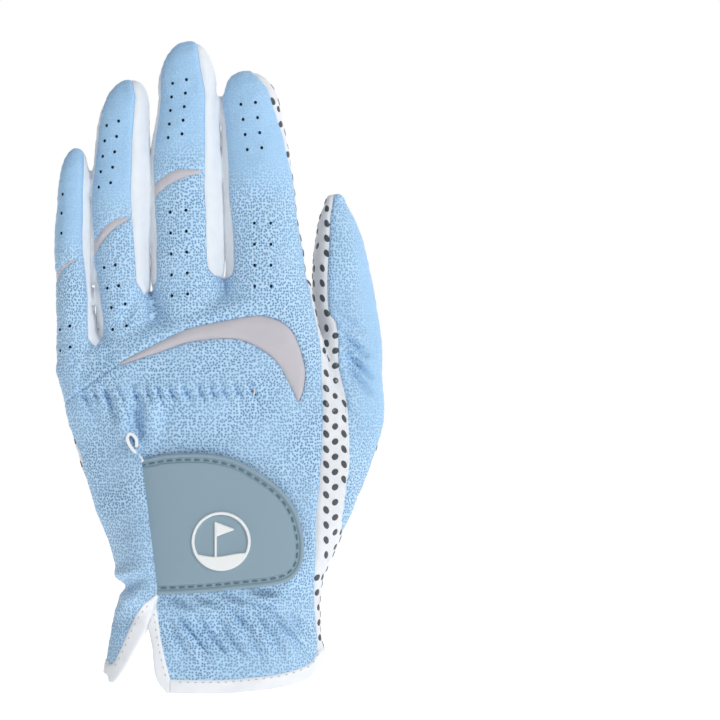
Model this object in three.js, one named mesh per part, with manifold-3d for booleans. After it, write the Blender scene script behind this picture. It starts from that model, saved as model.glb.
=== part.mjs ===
// Golf glove for the left hand, in millimetres. +Z runs to the fingertips, the back of the hand
// faces -Y, the palm faces +Y and the thumb is on the +X side. The origin is the centre of the cuff.
import * as THREE from "three";
import Module from "manifold-3d";

const wasm = await Module();
wasm.setup();

// ---------------------------------------------------------------- driving dimensions

const WALL = 1.2; // leather, fabric and lining together
const GAP = 0.3; // clearance along every seam
const FAR = 60; // reaches past the glove in any direction
const HEM_HEIGHT = 4.2; // width of the binding tape round the cuff
const TAPE = 0.5; // how far the tape stands out from the leather on each side
const KNUCKLE_SLANT = 20; // degrees, the knuckle line rises towards the index finger
const KNUCKLE_LINE = 113; // height of the knuckle line where it crosses X = 0, along its normal
const KNUCKLE_AXIS_Y = 5;
const KNUCKLE_RANGE = 60;
const FINGER_RANGE = 90;
const THUMB_RANGE = 60;
const TAB_BASE_Y = -14.9; // underside of the closing tab
const TAB_THICKNESS = 1.2;
const TAB_RELIEF = 0.5; // height of the tab's rim and field above the stitched groove

// The hand, from the cuff to the knuckles: the pinky-side and thumb-side edges as [x, z], and
// how far the back and the palm bulge from the middle.
const HAND = [
  { left: [-37, -10], right: [37.2, -10], back: 13, palm: 13 },
  { left: [-36.4, 5], right: [37, 7], back: 13, palm: 13 },
  { left: [-33.8, 19], right: [35.4, 20], back: 12.2, palm: 12.4 },
  { left: [-31.2, 33], right: [36, 34], back: 11.8, palm: 12 },
  { left: [-34.5, 48], right: [42, 50], back: 12.4, palm: 12.8 },
  { left: [-40.4, 64], right: [48.6, 68], back: 13, palm: 13.6 },
  { left: [-44.8, 78], right: [46.5, 86], back: 13, palm: 13.8 },
  { left: [-48.6, 90], right: [39.5, 102], back: 12.4, palm: 13 },
  { left: [-50.6, 98], right: [35.4, 117], back: 11.2, palm: 11.8 },
  { left: [-52.2, 105], right: [32.4, 134], back: 9.6, palm: 10 },
];
const HAND_DOME = 6;

// Fingers and thumb: rows of [z, x, half width, half depth, y] from the root up, then the tip.
const DIGITS = {
  index: {
    rows: [
      [112, 17.4, 14, 8.6, 0],
      [128, 17.4, 14.2, 8.4, 0],
      [135, 17.5, 13.4, 8.3, 0],
      [142, 17.6, 12.4, 8.1, 0],
      [156, 16.2, 11.7, 7.8, 0],
      [172, 14.7, 11.1, 7.5, 0],
      [188, 12.9, 9.9, 7, 0],
    ],
    tip: [205, 10.6],
    joint: 165,
  },
  middle: {
    rows: [
      [112, -8.3, 12.2, 8.6, 0],
      [126, -8.3, 12, 8.4, 0],
      [136, -8.7, 11.3, 8.2, 0],
      [150, -9, 11.2, 8.1, 0],
      [172, -9.3, 11.2, 7.8, 0],
      [184, -9, 10.5, 7.4, 0],
      [196, -8.6, 9.6, 6.8, 0],
    ],
    tip: [214.5, -8.3],
    joint: 173,
  },
  ring: {
    rows: [
      [104, -27.6, 9, 8.2, 0],
      [118, -28.2, 9.2, 8, 0],
      [126, -29.2, 9.2, 7.9, 0],
      [134, -30.5, 8.8, 7.8, 0],
      [150, -31.2, 9.3, 7.5, 0],
      [170, -31, 9.1, 7.2, 0],
      [186, -30, 8.4, 6.6, 0],
    ],
    tip: [202, -28],
    joint: 157,
  },
  pinky: {
    rows: [
      [96, -43, 7, 7.4, 0],
      [110, -44.6, 7.2, 7.2, 0],
      [124, -45.7, 6.3, 6.8, 0],
      [140, -46.8, 5.8, 6.5, 0],
      [154, -46.9, 5.6, 6.3, 0],
      [163, -46.6, 5.4, 6, 0],
    ],
    tip: [179.5, -45.6],
    joint: 143.6,
  },
  thumb: {
    rows: [
      [52, 29, 11.5, 10, 0.5],
      [62, 33.5, 13.3, 10.4, 1.8],
      [75, 38.5, 14, 10.4, 4],
      [89, 42.4, 13.4, 9.8, 6.6],
      [102, 44, 12.1, 9.4, 9],
      [115, 44.5, 11.2, 9, 11],
      [130, 43.2, 10.3, 8.6, 12.6],
      [142, 41.8, 9.6, 8.2, 13.2],
    ],
    tip: [163.6, 40.2],
    joint: 127,
  },
};

// ---------------------------------------------------------------- closed shells from sections

const SECTION_POINTS = 24;
const STEPS = 2; // sections between two given ones
const DOME_STEPS = 5;

// Smooth curve through every column of a table of numbers.
function smoothRows(rows, steps) {
  const out = [];
  for (let i = 0; i < rows.length - 1; i++) {
    const before = rows[Math.max(0, i - 1)];
    const from = rows[i];
    const to = rows[i + 1];
    const after = rows[Math.min(rows.length - 1, i + 2)];
    for (let step = 0; step < steps; step++) {
      const t = step / steps;
      out.push(
        from.map((value, column) => {
          const slopeIn = (to[column] - before[column]) / 2;
          const slopeOut = (after[column] - value) / 2;
          const rise = to[column] - value;
          const bend = 3 * rise - 2 * slopeIn - slopeOut;
          const twist = slopeIn + slopeOut - 2 * rise;
          return value + slopeIn * t + bend * t * t + twist * t * t * t;
        }),
      );
    }
  }
  out.push(rows[rows.length - 1]);
  return out;
}

// One section is {centre: [x, y, z], across: [dx, dz], back, palm, power}.
function sectionPoint(section, index) {
  const angle = (2 * Math.PI * index) / SECTION_POINTS;
  const soften = (value) => Math.sign(value) * Math.abs(value) ** (2 / section.power);
  const side = soften(Math.cos(angle));
  const depth = soften(Math.sin(angle));
  return [
    section.centre[0] + section.across[0] * side,
    section.centre[1] + (depth > 0 ? section.palm : section.back) * depth,
    section.centre[2] + section.across[1] * side,
  ];
}

function solid(geometry) {
  const mesh = new wasm.Mesh({
    numProp: 3,
    vertProperties: new Float32Array(geometry.attributes.position.array),
    triVerts: new Uint32Array(geometry.index.array),
  });
  mesh.merge();
  return new wasm.Manifold(mesh);
}

function loft(sections) {
  const points = [];
  for (const section of sections) {
    for (let i = 0; i < SECTION_POINTS; i++) points.push(...sectionPoint(section, i));
  }
  const first = sections[0];
  const last = sections[sections.length - 1];
  points.push(...first.centre);
  points.push(...last.top);
  const bottom = sections.length * SECTION_POINTS;
  const top = bottom + 1;
  const faces = [];
  for (let i = 0; i < SECTION_POINTS; i++) {
    const next = (i + 1) % SECTION_POINTS;
    faces.push(bottom, next, i);
    for (let ring = 0; ring < sections.length - 1; ring++) {
      const a = ring * SECTION_POINTS + i;
      const b = ring * SECTION_POINTS + next;
      faces.push(a, b, b + SECTION_POINTS);
      faces.push(a, b + SECTION_POINTS, a + SECTION_POINTS);
    }
    const ringStart = bottom - SECTION_POINTS;
    faces.push(ringStart + i, ringStart + next, top);
  }
  const geometry = new THREE.BufferGeometry();
  geometry.setAttribute("position", new THREE.Float32BufferAttribute(points, 3));
  geometry.setIndex(faces);
  return solid(geometry);
}

// The shrinking sections of a rounded end, as [share of the rise, share of the size].
function domeSteps() {
  const steps = [];
  for (let i = 1; i <= DOME_STEPS; i++) {
    const rise = Math.sin((Math.PI / 2) * (i / (DOME_STEPS + 0.6)));
    steps.push([rise, (1 - rise ** 2.2) ** (1 / 2.2)]);
  }
  return steps;
}

function handLoft(inset) {
  const rows = HAND.map((s) => [...s.left, ...s.right, s.back, s.palm]);
  const sections = smoothRows(rows, STEPS).map(([lx, lz, rx, rz, back, palm]) => {
    const length = Math.hypot(rx - lx, rz - lz) / 2;
    const scale = (length - inset) / length;
    return {
      centre: [(lx + rx) / 2, 0, (lz + rz) / 2],
      across: [((rx - lx) / 2) * scale, ((rz - lz) / 2) * scale],
      back: back - inset,
      palm: palm - inset,
      power: 2.5,
    };
  });
  sections[0].centre[2] -= inset;
  const end = sections[sections.length - 1];
  const slant = Math.atan2(end.across[1], end.across[0]);
  const rise = [-Math.sin(slant), Math.cos(slant)];
  const height = HAND_DOME - inset;
  for (const [up, size] of domeSteps()) {
    sections.push({
      ...end,
      centre: [end.centre[0] + rise[0] * height * up, 0, end.centre[2] + rise[1] * height * up],
      across: end.across.map((v) => v * (0.5 + size / 2)),
      back: end.back * size,
      palm: end.palm * size,
    });
  }
  const close = sections[sections.length - 1];
  close.top = [end.centre[0] + rise[0] * height, 0, end.centre[2] + rise[1] * height];
  return loft(sections);
}

function digitLoft(digit, inset) {
  const sections = smoothRows(digit.rows, STEPS).map(([z, x, halfWidth, halfDepth, y]) => ({
    centre: [x, y, z],
    across: [halfWidth - inset, 0],
    back: halfDepth - inset,
    palm: halfDepth - inset,
    power: 2.25,
  }));
  const end = sections[sections.length - 1];
  const height = digit.tip[0] - inset - end.centre[2];
  const lean = digit.tip[1] - end.centre[0];
  for (const [up, size] of domeSteps()) {
    sections.push({
      ...end,
      centre: [end.centre[0] + lean * up, end.centre[1], end.centre[2] + height * up],
      across: [end.across[0] * size, 0],
      back: end.back * size,
      palm: end.palm * size,
    });
  }
  sections[sections.length - 1].top = [
    digit.tip[1],
    end.centre[1],
    digit.tip[0] - inset,
  ];
  return loft(sections);
}

// Where a digit's middle line and its sizes are at one height.
function digitAt(digit, z) {
  const rows = smoothRows(digit.rows, 8);
  const above = Math.max(1, rows.findIndex((row) => row[0] >= z));
  const [low, high] = [rows[above - 1], rows[above]];
  const t = (z - low[0]) / (high[0] - low[0]);
  const [, x, halfWidth, halfDepth, y] = low.map((v, i) => v + (high[i] - v) * t);
  return { x, z, y, halfWidth, halfDepth };
}

// ---------------------------------------------------------------- prisms and seams

// A shape drawn in the X-Z plane, run along Y from y0 to y1.
function prismAlongY(shape, y0, y1) {
  const geometry = new THREE.ExtrudeGeometry(shape, {
    depth: y1 - y0,
    bevelEnabled: false,
    curveSegments: 10,
  });
  geometry.rotateX(Math.PI / 2);
  geometry.translate(0, y1, 0);
  return fromExtrude(geometry);
}

// A shape drawn in the Y-Z plane, run along X from x0 to x1.
function prismAlongX(shape, x0, x1) {
  const geometry = new THREE.ExtrudeGeometry(shape, { depth: x1 - x0, bevelEnabled: false });
  const alongX = new THREE.Vector3(1, 0, 0);
  const alongY = new THREE.Vector3(0, 1, 0);
  const alongZ = new THREE.Vector3(0, 0, 1);
  geometry.applyMatrix4(new THREE.Matrix4().makeBasis(alongY, alongZ, alongX));
  geometry.translate(x0, 0, 0);
  return fromExtrude(geometry);
}

function fromExtrude(geometry) {
  const count = geometry.attributes.position.count;
  geometry.setIndex([...Array(count).keys()]);
  return solid(geometry);
}

function polygon(points) {
  return new THREE.Shape(points.map(([a, b]) => new THREE.Vector2(a, b)));
}

// A narrow band that follows a line of points.
function band(points, width) {
  const left = [];
  const right = [];
  points.forEach(([a, b], i) => {
    const before = points[Math.max(0, i - 1)];
    const after = points[Math.min(points.length - 1, i + 1)];
    const length = Math.hypot(after[0] - before[0], after[1] - before[1]);
    const normal = [-(after[1] - before[1]) / length, (after[0] - before[0]) / length];
    left.push([a + (normal[0] * width) / 2, b + (normal[1] * width) / 2]);
    right.push([a - (normal[0] * width) / 2, b - (normal[1] * width) / 2]);
  });
  return polygon([...left, ...right.reverse()]);
}

function curveThrough(points, count) {
  const curve = new THREE.SplineCurve(points.map(([a, b]) => new THREE.Vector2(a, b)));
  return curve.getPoints(count).map((p) => [p.x, p.y]);
}

// A triangular groove on the palm side of a hinge, which lets the two sides fold together.
function foldRelief(hinge, range) {
  const halfAngle = THREE.MathUtils.degToRad(range / 2 + 3);
  const reach = 30;
  const side = Math.tan(halfAngle) * reach;
  const shape = polygon([
    [0, -0.2],
    [side, reach],
    [-side, reach],
  ]);
  const geometry = new THREE.ExtrudeGeometry(shape, {
    depth: hinge.length,
    bevelEnabled: false,
  });
  const slant = hinge.slant;
  const up = new THREE.Vector3(-Math.sin(slant), 0, Math.cos(slant));
  const palmward = new THREE.Vector3(0, 1, 0);
  const along = new THREE.Vector3().crossVectors(up, palmward);
  geometry.applyMatrix4(new THREE.Matrix4().makeBasis(up, palmward, along));
  const start = new THREE.Vector3(...hinge.at).addScaledVector(along, -hinge.length / 2);
  geometry.translate(start.x, start.y, start.z);
  return fromExtrude(geometry);
}

// ---------------------------------------------------------------- the hollow glove

const digits = Object.values(DIGITS);
const joinAll = (solids) => wasm.Manifold.union(solids);
const outside = joinAll([handLoft(0), ...digits.map((d) => digitLoft(d, 0))]);
const inside = joinAll([handLoft(WALL), ...digits.map((d) => digitLoft(d, WALL))]);

// The lower edge of the cuff, on the back and on the palm.
const HEM_BACK = [
  [-60, 4.5],
  [-36, 4],
  [-13, -0.4],
  [12, 0],
  [25, 1.8],
  [36, 8],
  [60, 14],
];
const HEM_PALM = [
  [-60, 5],
  [-36, 5],
  [-20, 1],
  [0, 0.2],
  [20, 2],
  [35, 8],
  [60, 14],
];

function belowLine(line, lift, y0, y1) {
  const raised = curveThrough(line, 24).map(([x, z]) => [x, z + lift]);
  return prismAlongY(polygon([...raised, [FAR + 5, -40], [-FAR - 5, -40]]), y0, y1);
}

function belowHem(lift) {
  return belowLine(HEM_BACK, lift, -FAR, 0).add(belowLine(HEM_PALM, lift, 0, FAR));
}

// The slit at the wrist: closed under the tab, then a V that opens to the cuff.
const SLIT_TOP = [-27.6, 84];
const SLIT_APEX = [-21.5, 22];
const LEFT_EDGE = [SLIT_APEX, [-25.4, 13], [-28.6, 7], [-31.6, 3], [-33, -3]];
const RIGHT_EDGE = [SLIT_APEX, [-19.8, 15.5], [-19, 8], [-17.6, 3], [-15, -3]];
const opening = prismAlongY(
  polygon([
    ...LEFT_EDGE,
    [-33, -20],
    [-15, -20],
    ...RIGHT_EDGE.slice(1).reverse(),
  ]),
  -FAR,
  0,
);
const closedSlit = prismAlongY(band([SLIT_TOP, [-20.6, 40], SLIT_APEX], 0.4), -FAR, 0);

const TAPE_WIDTH = 3.6;
const slitTape = joinAll([
  prismAlongY(band([[-28.1, 87.6], [-20.6, 40], [-21.5, 21]], 2 * TAPE_WIDTH), -FAR, -3),
  prismAlongY(band(LEFT_EDGE, 2 * TAPE_WIDTH), -FAR, -3),
  prismAlongY(band(RIGHT_EDGE, 2 * TAPE_WIDTH), -FAR, -3),
]);

const thickened = handLoft(-TAPE).subtract(handLoft(WALL + TAPE));
const hemTape = thickened
  .intersect(belowHem(HEM_HEIGHT))
  .subtract(belowHem(0))
  .subtract(opening);
const hemRoom = belowHem(HEM_HEIGHT + GAP);
const slitBinding = thickened
  .intersect(slitTape)
  .subtract(hemRoom)
  .subtract(opening)
  .subtract(closedSlit);
const slitClearance = joinAll([
  prismAlongY(
    band([[-28.2, 88], [-20.6, 40], [-21.5, 21]], 2 * (TAPE_WIDTH + GAP)),
    -FAR,
    -2.6,
  ),
  prismAlongY(band(LEFT_EDGE, 2 * (TAPE_WIDTH + GAP)), -FAR, -2.6),
  prismAlongY(band(RIGHT_EDGE, 2 * (TAPE_WIDTH + GAP)), -FAR, -2.6),
]);

// ---------------------------------------------------------------- hinges

const knuckleSlant = THREE.MathUtils.degToRad(KNUCKLE_SLANT);
function onKnuckleLine(x) {
  return (KNUCKLE_LINE + x * Math.sin(knuckleSlant)) / Math.cos(knuckleSlant);
}

function digitHinge(digit) {
  const here = digitAt(digit, digit.joint);
  const above = digitAt(digit, digit.joint + 6);
  return {
    at: [here.x, here.y + here.halfDepth * 0.4, here.z],
    slant: Math.atan2(here.x - above.x, 6),
    length: 2 * here.halfWidth + 0.9,
  };
}

const knuckleHinge = {
  at: [-11.5, KNUCKLE_AXIS_Y, onKnuckleLine(-11.5)],
  slant: knuckleSlant,
  length: 94,
};

function cutAtHinge(hinge, range) {
  const reach = hinge.length / 2;
  const along = [Math.cos(hinge.slant), Math.sin(hinge.slant)];
  const line = [
    [hinge.at[0] - along[0] * reach, hinge.at[2] - along[1] * reach],
    [hinge.at[0] + along[0] * reach, hinge.at[2] + along[1] * reach],
  ];
  return prismAlongY(band(line, GAP), -FAR, FAR).add(foldRelief(hinge, range));
}

const fingerNames = ["index", "middle", "ring", "pinky"];
const hingeCuts = fingerNames.map((name) =>
  cutAtHinge(digitHinge(DIGITS[name]), FINGER_RANGE),
);
const thumbHinge = digitHinge(DIGITS.thumb);
const thumbCut = cutAtHinge(thumbHinge, THUMB_RANGE).intersect(
  prismAlongY(polygon([[32.6, 90], [80, 90], [80, 180], [32.6, 180]]), -3, FAR),
);
const knuckleCut = cutAtHinge(knuckleHinge, KNUCKLE_RANGE);

// ---------------------------------------------------------------- seams

// The seam between the blue back and the dotted palm fabric, on the thumb side.
const THUMB_SIDE_SEAM = [
  [33.6, -20],
  [33.4, 20],
  [34.4, 45],
  [35.4, 66],
  [36, 90],
  [35.6, 106],
  [33.6, 118],
  [31.6, 129],
  [30.6, 136],
];
const seams = [
  prismAlongY(band(curveThrough(THUMB_SIDE_SEAM, 30), GAP), -FAR, 1),
  prismAlongX(band([[0, -20], [0, 116]], GAP), -FAR, -18),
];

// The stretch insert over the knuckles: its upper edge is the knuckle line, and the lower
// edge curves down to a point near the thumb side.
const INSERT_EDGE = [
  [-27, 113],
  [-20, 110.6],
  [-10, 112.6],
  [0, 114],
  [10, 112.6],
  [20, 106.4],
  [25.5, 100],
  [28.4, 94.6],
];
const INSERT_OUTER = [
  [28.4, 94.6],
  [30.6, 103],
  [30.4, 112],
  [27.2, 121],
  [22.6, 131],
];
seams.push(prismAlongY(band(curveThrough(INSERT_EDGE, 24), GAP), -FAR, 0));
seams.push(prismAlongY(band(curveThrough(INSERT_OUTER, 12), GAP), -FAR, 0));

// Palm side: the thumb patch and the heel patch.
const THUMB_PATCH = [
  [33.2, 116.4],
  [24, 114],
  [13, 108.5],
  [5.4, 100],
  [2.2, 86],
  [2.8, 75],
  [6, 63],
  [12, 55],
  [20, 49],
  [30, 44.2],
  [36, 42],
];
const HEEL_PATCH_INNER = [
  [-6.6, 110],
  [-4, 98],
  [-5.9, 84],
  [-8.3, 67],
  [-11.4, 54],
  [-17.6, 43],
  [-26, 37.4],
  [-40, 35.6],
];
const HEEL_PATCH_OUTER = [
  [-6.6, 110],
  [-16.5, 101.3],
  [-27, 86],
  [-35, 71],
  [-48, 58],
];
seams.push(prismAlongY(band(curveThrough(THUMB_PATCH, 30), GAP), 0, FAR));
seams.push(prismAlongY(band([[33, 43.2], [60, 40]], GAP), -FAR, FAR));
seams.push(prismAlongY(band([[32.8, 116.3], [35, 116.8]], GAP), -FAR, 6));
seams.push(prismAlongY(band([[32.8, 116.3], [37, 117.2]], GAP), -FAR, 3));
seams.push(prismAlongY(band(curveThrough(HEEL_PATCH_INNER, 24), GAP), 0, FAR));
seams.push(prismAlongY(band(curveThrough(HEEL_PATCH_OUTER, 16), GAP), 0, FAR));

// The blue back of the thumb: a seam on its inner side, and one along its outer edge.
const THUMB_BACK_SEAM = [
  [38.4, 166],
  [37.7, 150],
  [37.6, 128],
  [40.4, 117],
  [42, 103],
  [44.6, 92],
  [45.3, 75],
  [44.2, 64],
  [42.6, 55],
  [42.4, 47],
];
seams.push(
  prismAlongY(band(curveThrough(THUMB_BACK_SEAM, 30), GAP), -20, 13.2).intersect(
    prismAlongX(
      polygon([
        [-20, 40],
        [-1, 40],
        [2, 55],
        [6.6, 89],
        [11, 115],
        [13.2, 142],
        [13.2, 170],
        [-20, 170],
      ]),
      20,
      60,
    ),
  ),
);
const THUMB_EDGE_SEAM = [
  [-1.5, 44],
  [0.5, 52],
  [4, 75],
  [9, 102],
  [12.6, 130],
  [13.2, 142],
  [13.2, 168],
];
seams.push(prismAlongX(band(THUMB_EDGE_SEAM, GAP), 42.4, 70));
seams.push(prismAlongX(band([[13.2, 155], [13.2, 170]], GAP), 37, 70));

// The sides of the fingers: one seam on the outer sides of the index and the pinky, and two
// between neighbours, with the side strip between them.
const STRIP_HALF = 3.6; // half the width of a side strip

// Everything on one side of a digit's middle line, above the height of its root.
function sideRegion(digit, direction, rootZ) {
  const [from, above, below] = [digitAt(digit, digit.joint).x, digit.tip[0] + 5, 90];
  const halfPlane = polygon([
    [from, below],
    [from + direction * 30, below],
    [digit.tip[1] + direction * 30, above],
    [digit.tip[1], above],
  ]);
  const aboveRoot = polygon([[-90, rootZ], [90, rootZ], [90, above], [-90, above]]);
  return prismAlongY(halfPlane, -FAR, FAR).intersect(prismAlongY(aboveRoot, -FAR, FAR));
}

function sideStrip(digit, direction, rootZ) {
  const tipZ = digit.tip[0];
  const lines = [-1, 1].map((sign) => [
    [sign * STRIP_HALF, rootZ],
    [sign * STRIP_HALF, tipZ - 24],
    [sign * STRIP_HALF * 0.75, tipZ - 14],
    [0, tipZ - 5],
    [0, tipZ + 5],
  ]);
  const region = sideRegion(digit, direction, rootZ);
  return lines.map((line) => prismAlongX(band(line, GAP), -FAR, FAR).intersect(region));
}

function outerSeam(digit, direction, rootZ) {
  const line = [
    [0, rootZ],
    [0, digit.tip[0] + 5],
  ];
  const region = sideRegion(digit, direction, rootZ);
  return prismAlongX(band(line, GAP), -FAR, FAR).intersect(region);
}

const { index, middle, ring, pinky } = DIGITS;
const WEBS = [
  { left: middle, right: index, root: 124, edge: 2.6 },
  { left: ring, right: middle, root: 117, edge: -21 },
  { left: pinky, right: ring, root: 110, edge: -39.8 },
];
for (const { left, right, root, edge } of WEBS) {
  const leftHalf = prismAlongY(
    polygon([[edge - 40, 90], [edge, 90], [edge, 240], [edge - 40, 240]]),
    -FAR,
    FAR,
  );
  const rightHalf = prismAlongY(
    polygon([[edge, 90], [edge + 40, 90], [edge + 40, 240], [edge, 240]]),
    -FAR,
    FAR,
  );
  seams.push(...sideStrip(left, 1, root).map((s) => s.intersect(leftHalf)));
  seams.push(...sideStrip(right, -1, root).map((s) => s.intersect(rightHalf)));
}
const besideThumb = prismAlongY(polygon([[33, 90], [90, 90], [90, 210], [33, 210]]), -FAR, FAR);
seams.push(outerSeam(index, 1, 128).subtract(besideThumb));
seams.push(outerSeam(pinky, -1, 100));

// Stretch inserts on the backs of three fingers, just below their middle joints.
const FINGER_INSERTS = [
  { digit: middle, drop: [5.4, 4] },
  { digit: ring, drop: [9.5, 3] },
  { digit: pinky, drop: [5.6, 3] },
];
for (const { digit, drop } of FINGER_INSERTS) {
  const here = digitAt(digit, digit.joint);
  const line = [
    [here.x - here.halfWidth - 0.3, here.z - drop[0]],
    [here.x, here.z - (drop[0] + drop[1]) / 2],
    [here.x + here.halfWidth + 0.3, here.z - drop[1]],
  ];
  seams.push(prismAlongY(band(line, GAP), -FAR, -STRIP_HALF + 0.1));
  if (digit === pinky) seams.push(prismAlongY(band(line.slice(0, 2), GAP), -FAR, 0.1));
}

// ---------------------------------------------------------------- cutting the glove into pieces

const shell = outside
  .subtract(inside)
  .subtract(hemRoom)
  .subtract(opening)
  .subtract(slitClearance);
const pieces = shell
  .subtract(joinAll([...hingeCuts, thumbCut, knuckleCut, ...seams]))
  .decompose();

// A small block round a point on a wall, which finds the piece that holds the point.
function probe([x, y, z]) {
  const block = new THREE.BoxGeometry(3, 3, 3).toNonIndexed();
  block.translate(x, y, z);
  return fromExtrude(block);
}

function pieceAt(point) {
  const block = probe(point);
  let best = null;
  let most = 0;
  for (const piece of pieces) {
    const shared = piece.intersect(block).volume();
    if (shared > most) {
      most = shared;
      best = piece;
    }
  }
  if (!best) throw new Error("no piece at " + point);
  return best;
}

const sideOf = (digit, z, side) => {
  const here = digitAt(digit, z);
  return {
    back: [here.x, here.y - here.halfDepth + 0.6, z],
    palm: [here.x, here.y + here.halfDepth - 0.6, z],
    thumbward: [here.x + here.halfWidth - 0.6, here.y, z],
    pinkyward: [here.x - here.halfWidth + 0.6, here.y, z],
  }[side];
};

// ---------------------------------------------------------------- materials and nodes

const LOOKS = {
  blue_leather: { color: 0x9cc6e6, roughness: 0.55, metalness: 0 },
  dotted_fabric: { color: 0xdfe2e6, roughness: 0.75, metalness: 0 },
  white_fabric: { color: 0xebe9e4, roughness: 0.8, metalness: 0 },
  stretch_fabric: { color: 0xc8bebe, roughness: 0.85, metalness: 0 },
  white_tape: { color: 0xf0f2f4, roughness: 0.7, metalness: 0 },
  teal_rubber: { color: 0x8cadb9, roughness: 0.5, metalness: 0 },
  thread: { color: 0x5b7c88, roughness: 0.8, metalness: 0 },
  white_rubber: { color: 0xf2f2f0, roughness: 0.5, metalness: 0 },
  hook_tape: { color: 0x9fb6c2, roughness: 0.9, metalness: 0 },
  elastic: { color: 0xe4e2de, roughness: 0.85, metalness: 0 },
};

const glove = new THREE.Group();
glove.name = "golf_glove";

function addNode(name, look, body) {
  const mesh = body.simplify(0.04).getMesh();
  const geometry = new THREE.BufferGeometry();
  const stride = mesh.numProp;
  const positions = [];
  for (let i = 0; i < mesh.numVert; i++) {
    positions.push(...mesh.vertProperties.subarray(i * stride, i * stride + 3));
  }
  geometry.setAttribute("position", new THREE.Float32BufferAttribute(positions, 3));
  geometry.setIndex([...mesh.triVerts]);
  geometry.computeVertexNormals();
  const node = new THREE.Mesh(geometry, new THREE.MeshStandardMaterial(LOOKS[look]));
  node.name = name;
  glove.add(node);
}

// The largest part of a solid, without the crumbs a cut may leave.
function largest(body) {
  return body.decompose().sort((a, b) => b.volume() - a.volume())[0];
}

// Hand
addNode("back_hand_panel", "blue_leather", pieceAt([10, -12.2, 70]));
addNode("knuckle_insert", "stretch_fabric", pieceAt([14, -10.6, 116]));
addNode("palm_panel", "dotted_fabric", pieceAt([0, 12, 30]));
addNode("thumb_palm_patch", "dotted_fabric", pieceAt([20, 13, 75]));
addNode("heel_patch", "dotted_fabric", pieceAt([-22, 12.2, 70]));
addNode("thumb_back_panel", "blue_leather", pieceAt([52, 2.5, 90]));
addNode("hem_binding", "white_tape", largest(hemTape));
addNode("slit_binding", "white_tape", largest(slitBinding));

// Fingers up to their middle joints
addNode("back_finger_panel", "blue_leather", pieceAt(sideOf(middle, 150, "back")));
addNode("palm_finger_panel", "dotted_fabric", pieceAt(sideOf(middle, 150, "palm")));
addNode("fourchette_index_middle", "white_fabric", pieceAt(sideOf(middle, 150, "thumbward")));
addNode("fourchette_middle_ring", "white_fabric", pieceAt(sideOf(middle, 150, "pinkyward")));
addNode("fourchette_ring_pinky", "white_fabric", pieceAt(sideOf(ring, 135, "pinkyward")));
addNode("middle_flex_insert", "stretch_fabric", pieceAt(sideOf(middle, 170.6, "back")));
addNode("ring_flex_insert", "stretch_fabric", pieceAt(sideOf(ring, 153.8, "back")));
addNode("pinky_flex_insert", "stretch_fabric", pieceAt(sideOf(pinky, 141.4, "back")));

// Fingertips and the thumb tip
for (const name of [...fingerNames, "thumb"]) {
  const digit = DIGITS[name];
  const z = digit.joint + 12;
  addNode(name + "_tip_back", "blue_leather", pieceAt(sideOf(digit, z, "back")));
  addNode(name + "_tip_palm", "dotted_fabric", pieceAt(sideOf(digit, z, "palm")));
}
addNode("index_tip_strip", "white_fabric", pieceAt(sideOf(index, 175, "pinkyward")));
addNode("middle_tip_strip_thumbward", "white_fabric", pieceAt(sideOf(middle, 182, "thumbward")));
addNode("middle_tip_strip_pinkyward", "white_fabric", pieceAt(sideOf(middle, 182, "pinkyward")));
addNode("ring_tip_strip_thumbward", "white_fabric", pieceAt(sideOf(ring, 168, "thumbward")));
addNode("ring_tip_strip_pinkyward", "white_fabric", pieceAt(sideOf(ring, 168, "pinkyward")));
addNode("pinky_tip_strip", "white_fabric", pieceAt(sideOf(pinky, 152, "thumbward")));

// ---------------------------------------------------------------- elastics inside the hand

const elasticLayer = handLoft(WALL + TAPE + GAP).subtract(handLoft(WALL + TAPE + GAP + 0.9));
function elastic(outline, y0, y1) {
  return largest(elasticLayer.intersect(prismAlongY(polygon(outline), y0, y1)));
}
addNode(
  "knuckle_elastic",
  "elastic",
  elastic([[-36, 93], [22, 95], [22, 100], [-36, 98]], -FAR, -3),
);
addNode(
  "wrist_back_elastic",
  "elastic",
  elastic([[-14, 17], [31, 17], [31, 24], [-14, 24]], -FAR, -3),
);
addNode(
  "wrist_palm_elastic",
  "elastic",
  elastic([[-26, 21], [26, 21], [26, 27], [-26, 27]], 3, FAR),
);

// ---------------------------------------------------------------- closing tab

const TAB_CURVE = [
  [-23, 76.8],
  [-15.5, 78],
  [-3.3, 78.3],
  [6.6, 76.6],
  [14.5, 72.6],
  [22.6, 66.5],
  [27.4, 60],
  [29.7, 52.5],
  [30.2, 46.5],
  [29.2, 41],
  [26, 37],
  [20, 35],
  [8.6, 33.7],
  [-3.3, 32.6],
  [-18.6, 31.8],
];
const TAB_OUTLINE = curveThrough(TAB_CURVE, 56);

// The rim and the stitched groove run along the top, the right and the bottom only: on the
// left, where the tab is sewn in, this outline passes the tab's edge.
const FIELD_OUTLINE = curveThrough([[-38, 74.4], ...TAB_CURVE, [-34, 31]], 60);

// The outline moved inwards, away from its edge.
function inset(points, distance) {
  const count = points.length;
  return points.map(([x, z], i) => {
    const before = points[(i + count - 1) % count];
    const after = points[(i + 1) % count];
    const into = [x - before[0], z - before[1]];
    const out = [after[0] - x, after[1] - z];
    const inLength = Math.hypot(...into);
    const outLength = Math.hypot(...out);
    const normal = [
      into[1] / inLength + out[1] / outLength,
      -into[0] / inLength - out[0] / outLength,
    ];
    const length = Math.hypot(...normal);
    const miter = distance / Math.max(0.5, length / 2);
    return [x + (normal[0] / length) * miter, z + (normal[1] / length) * miter];
  });
}

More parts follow.
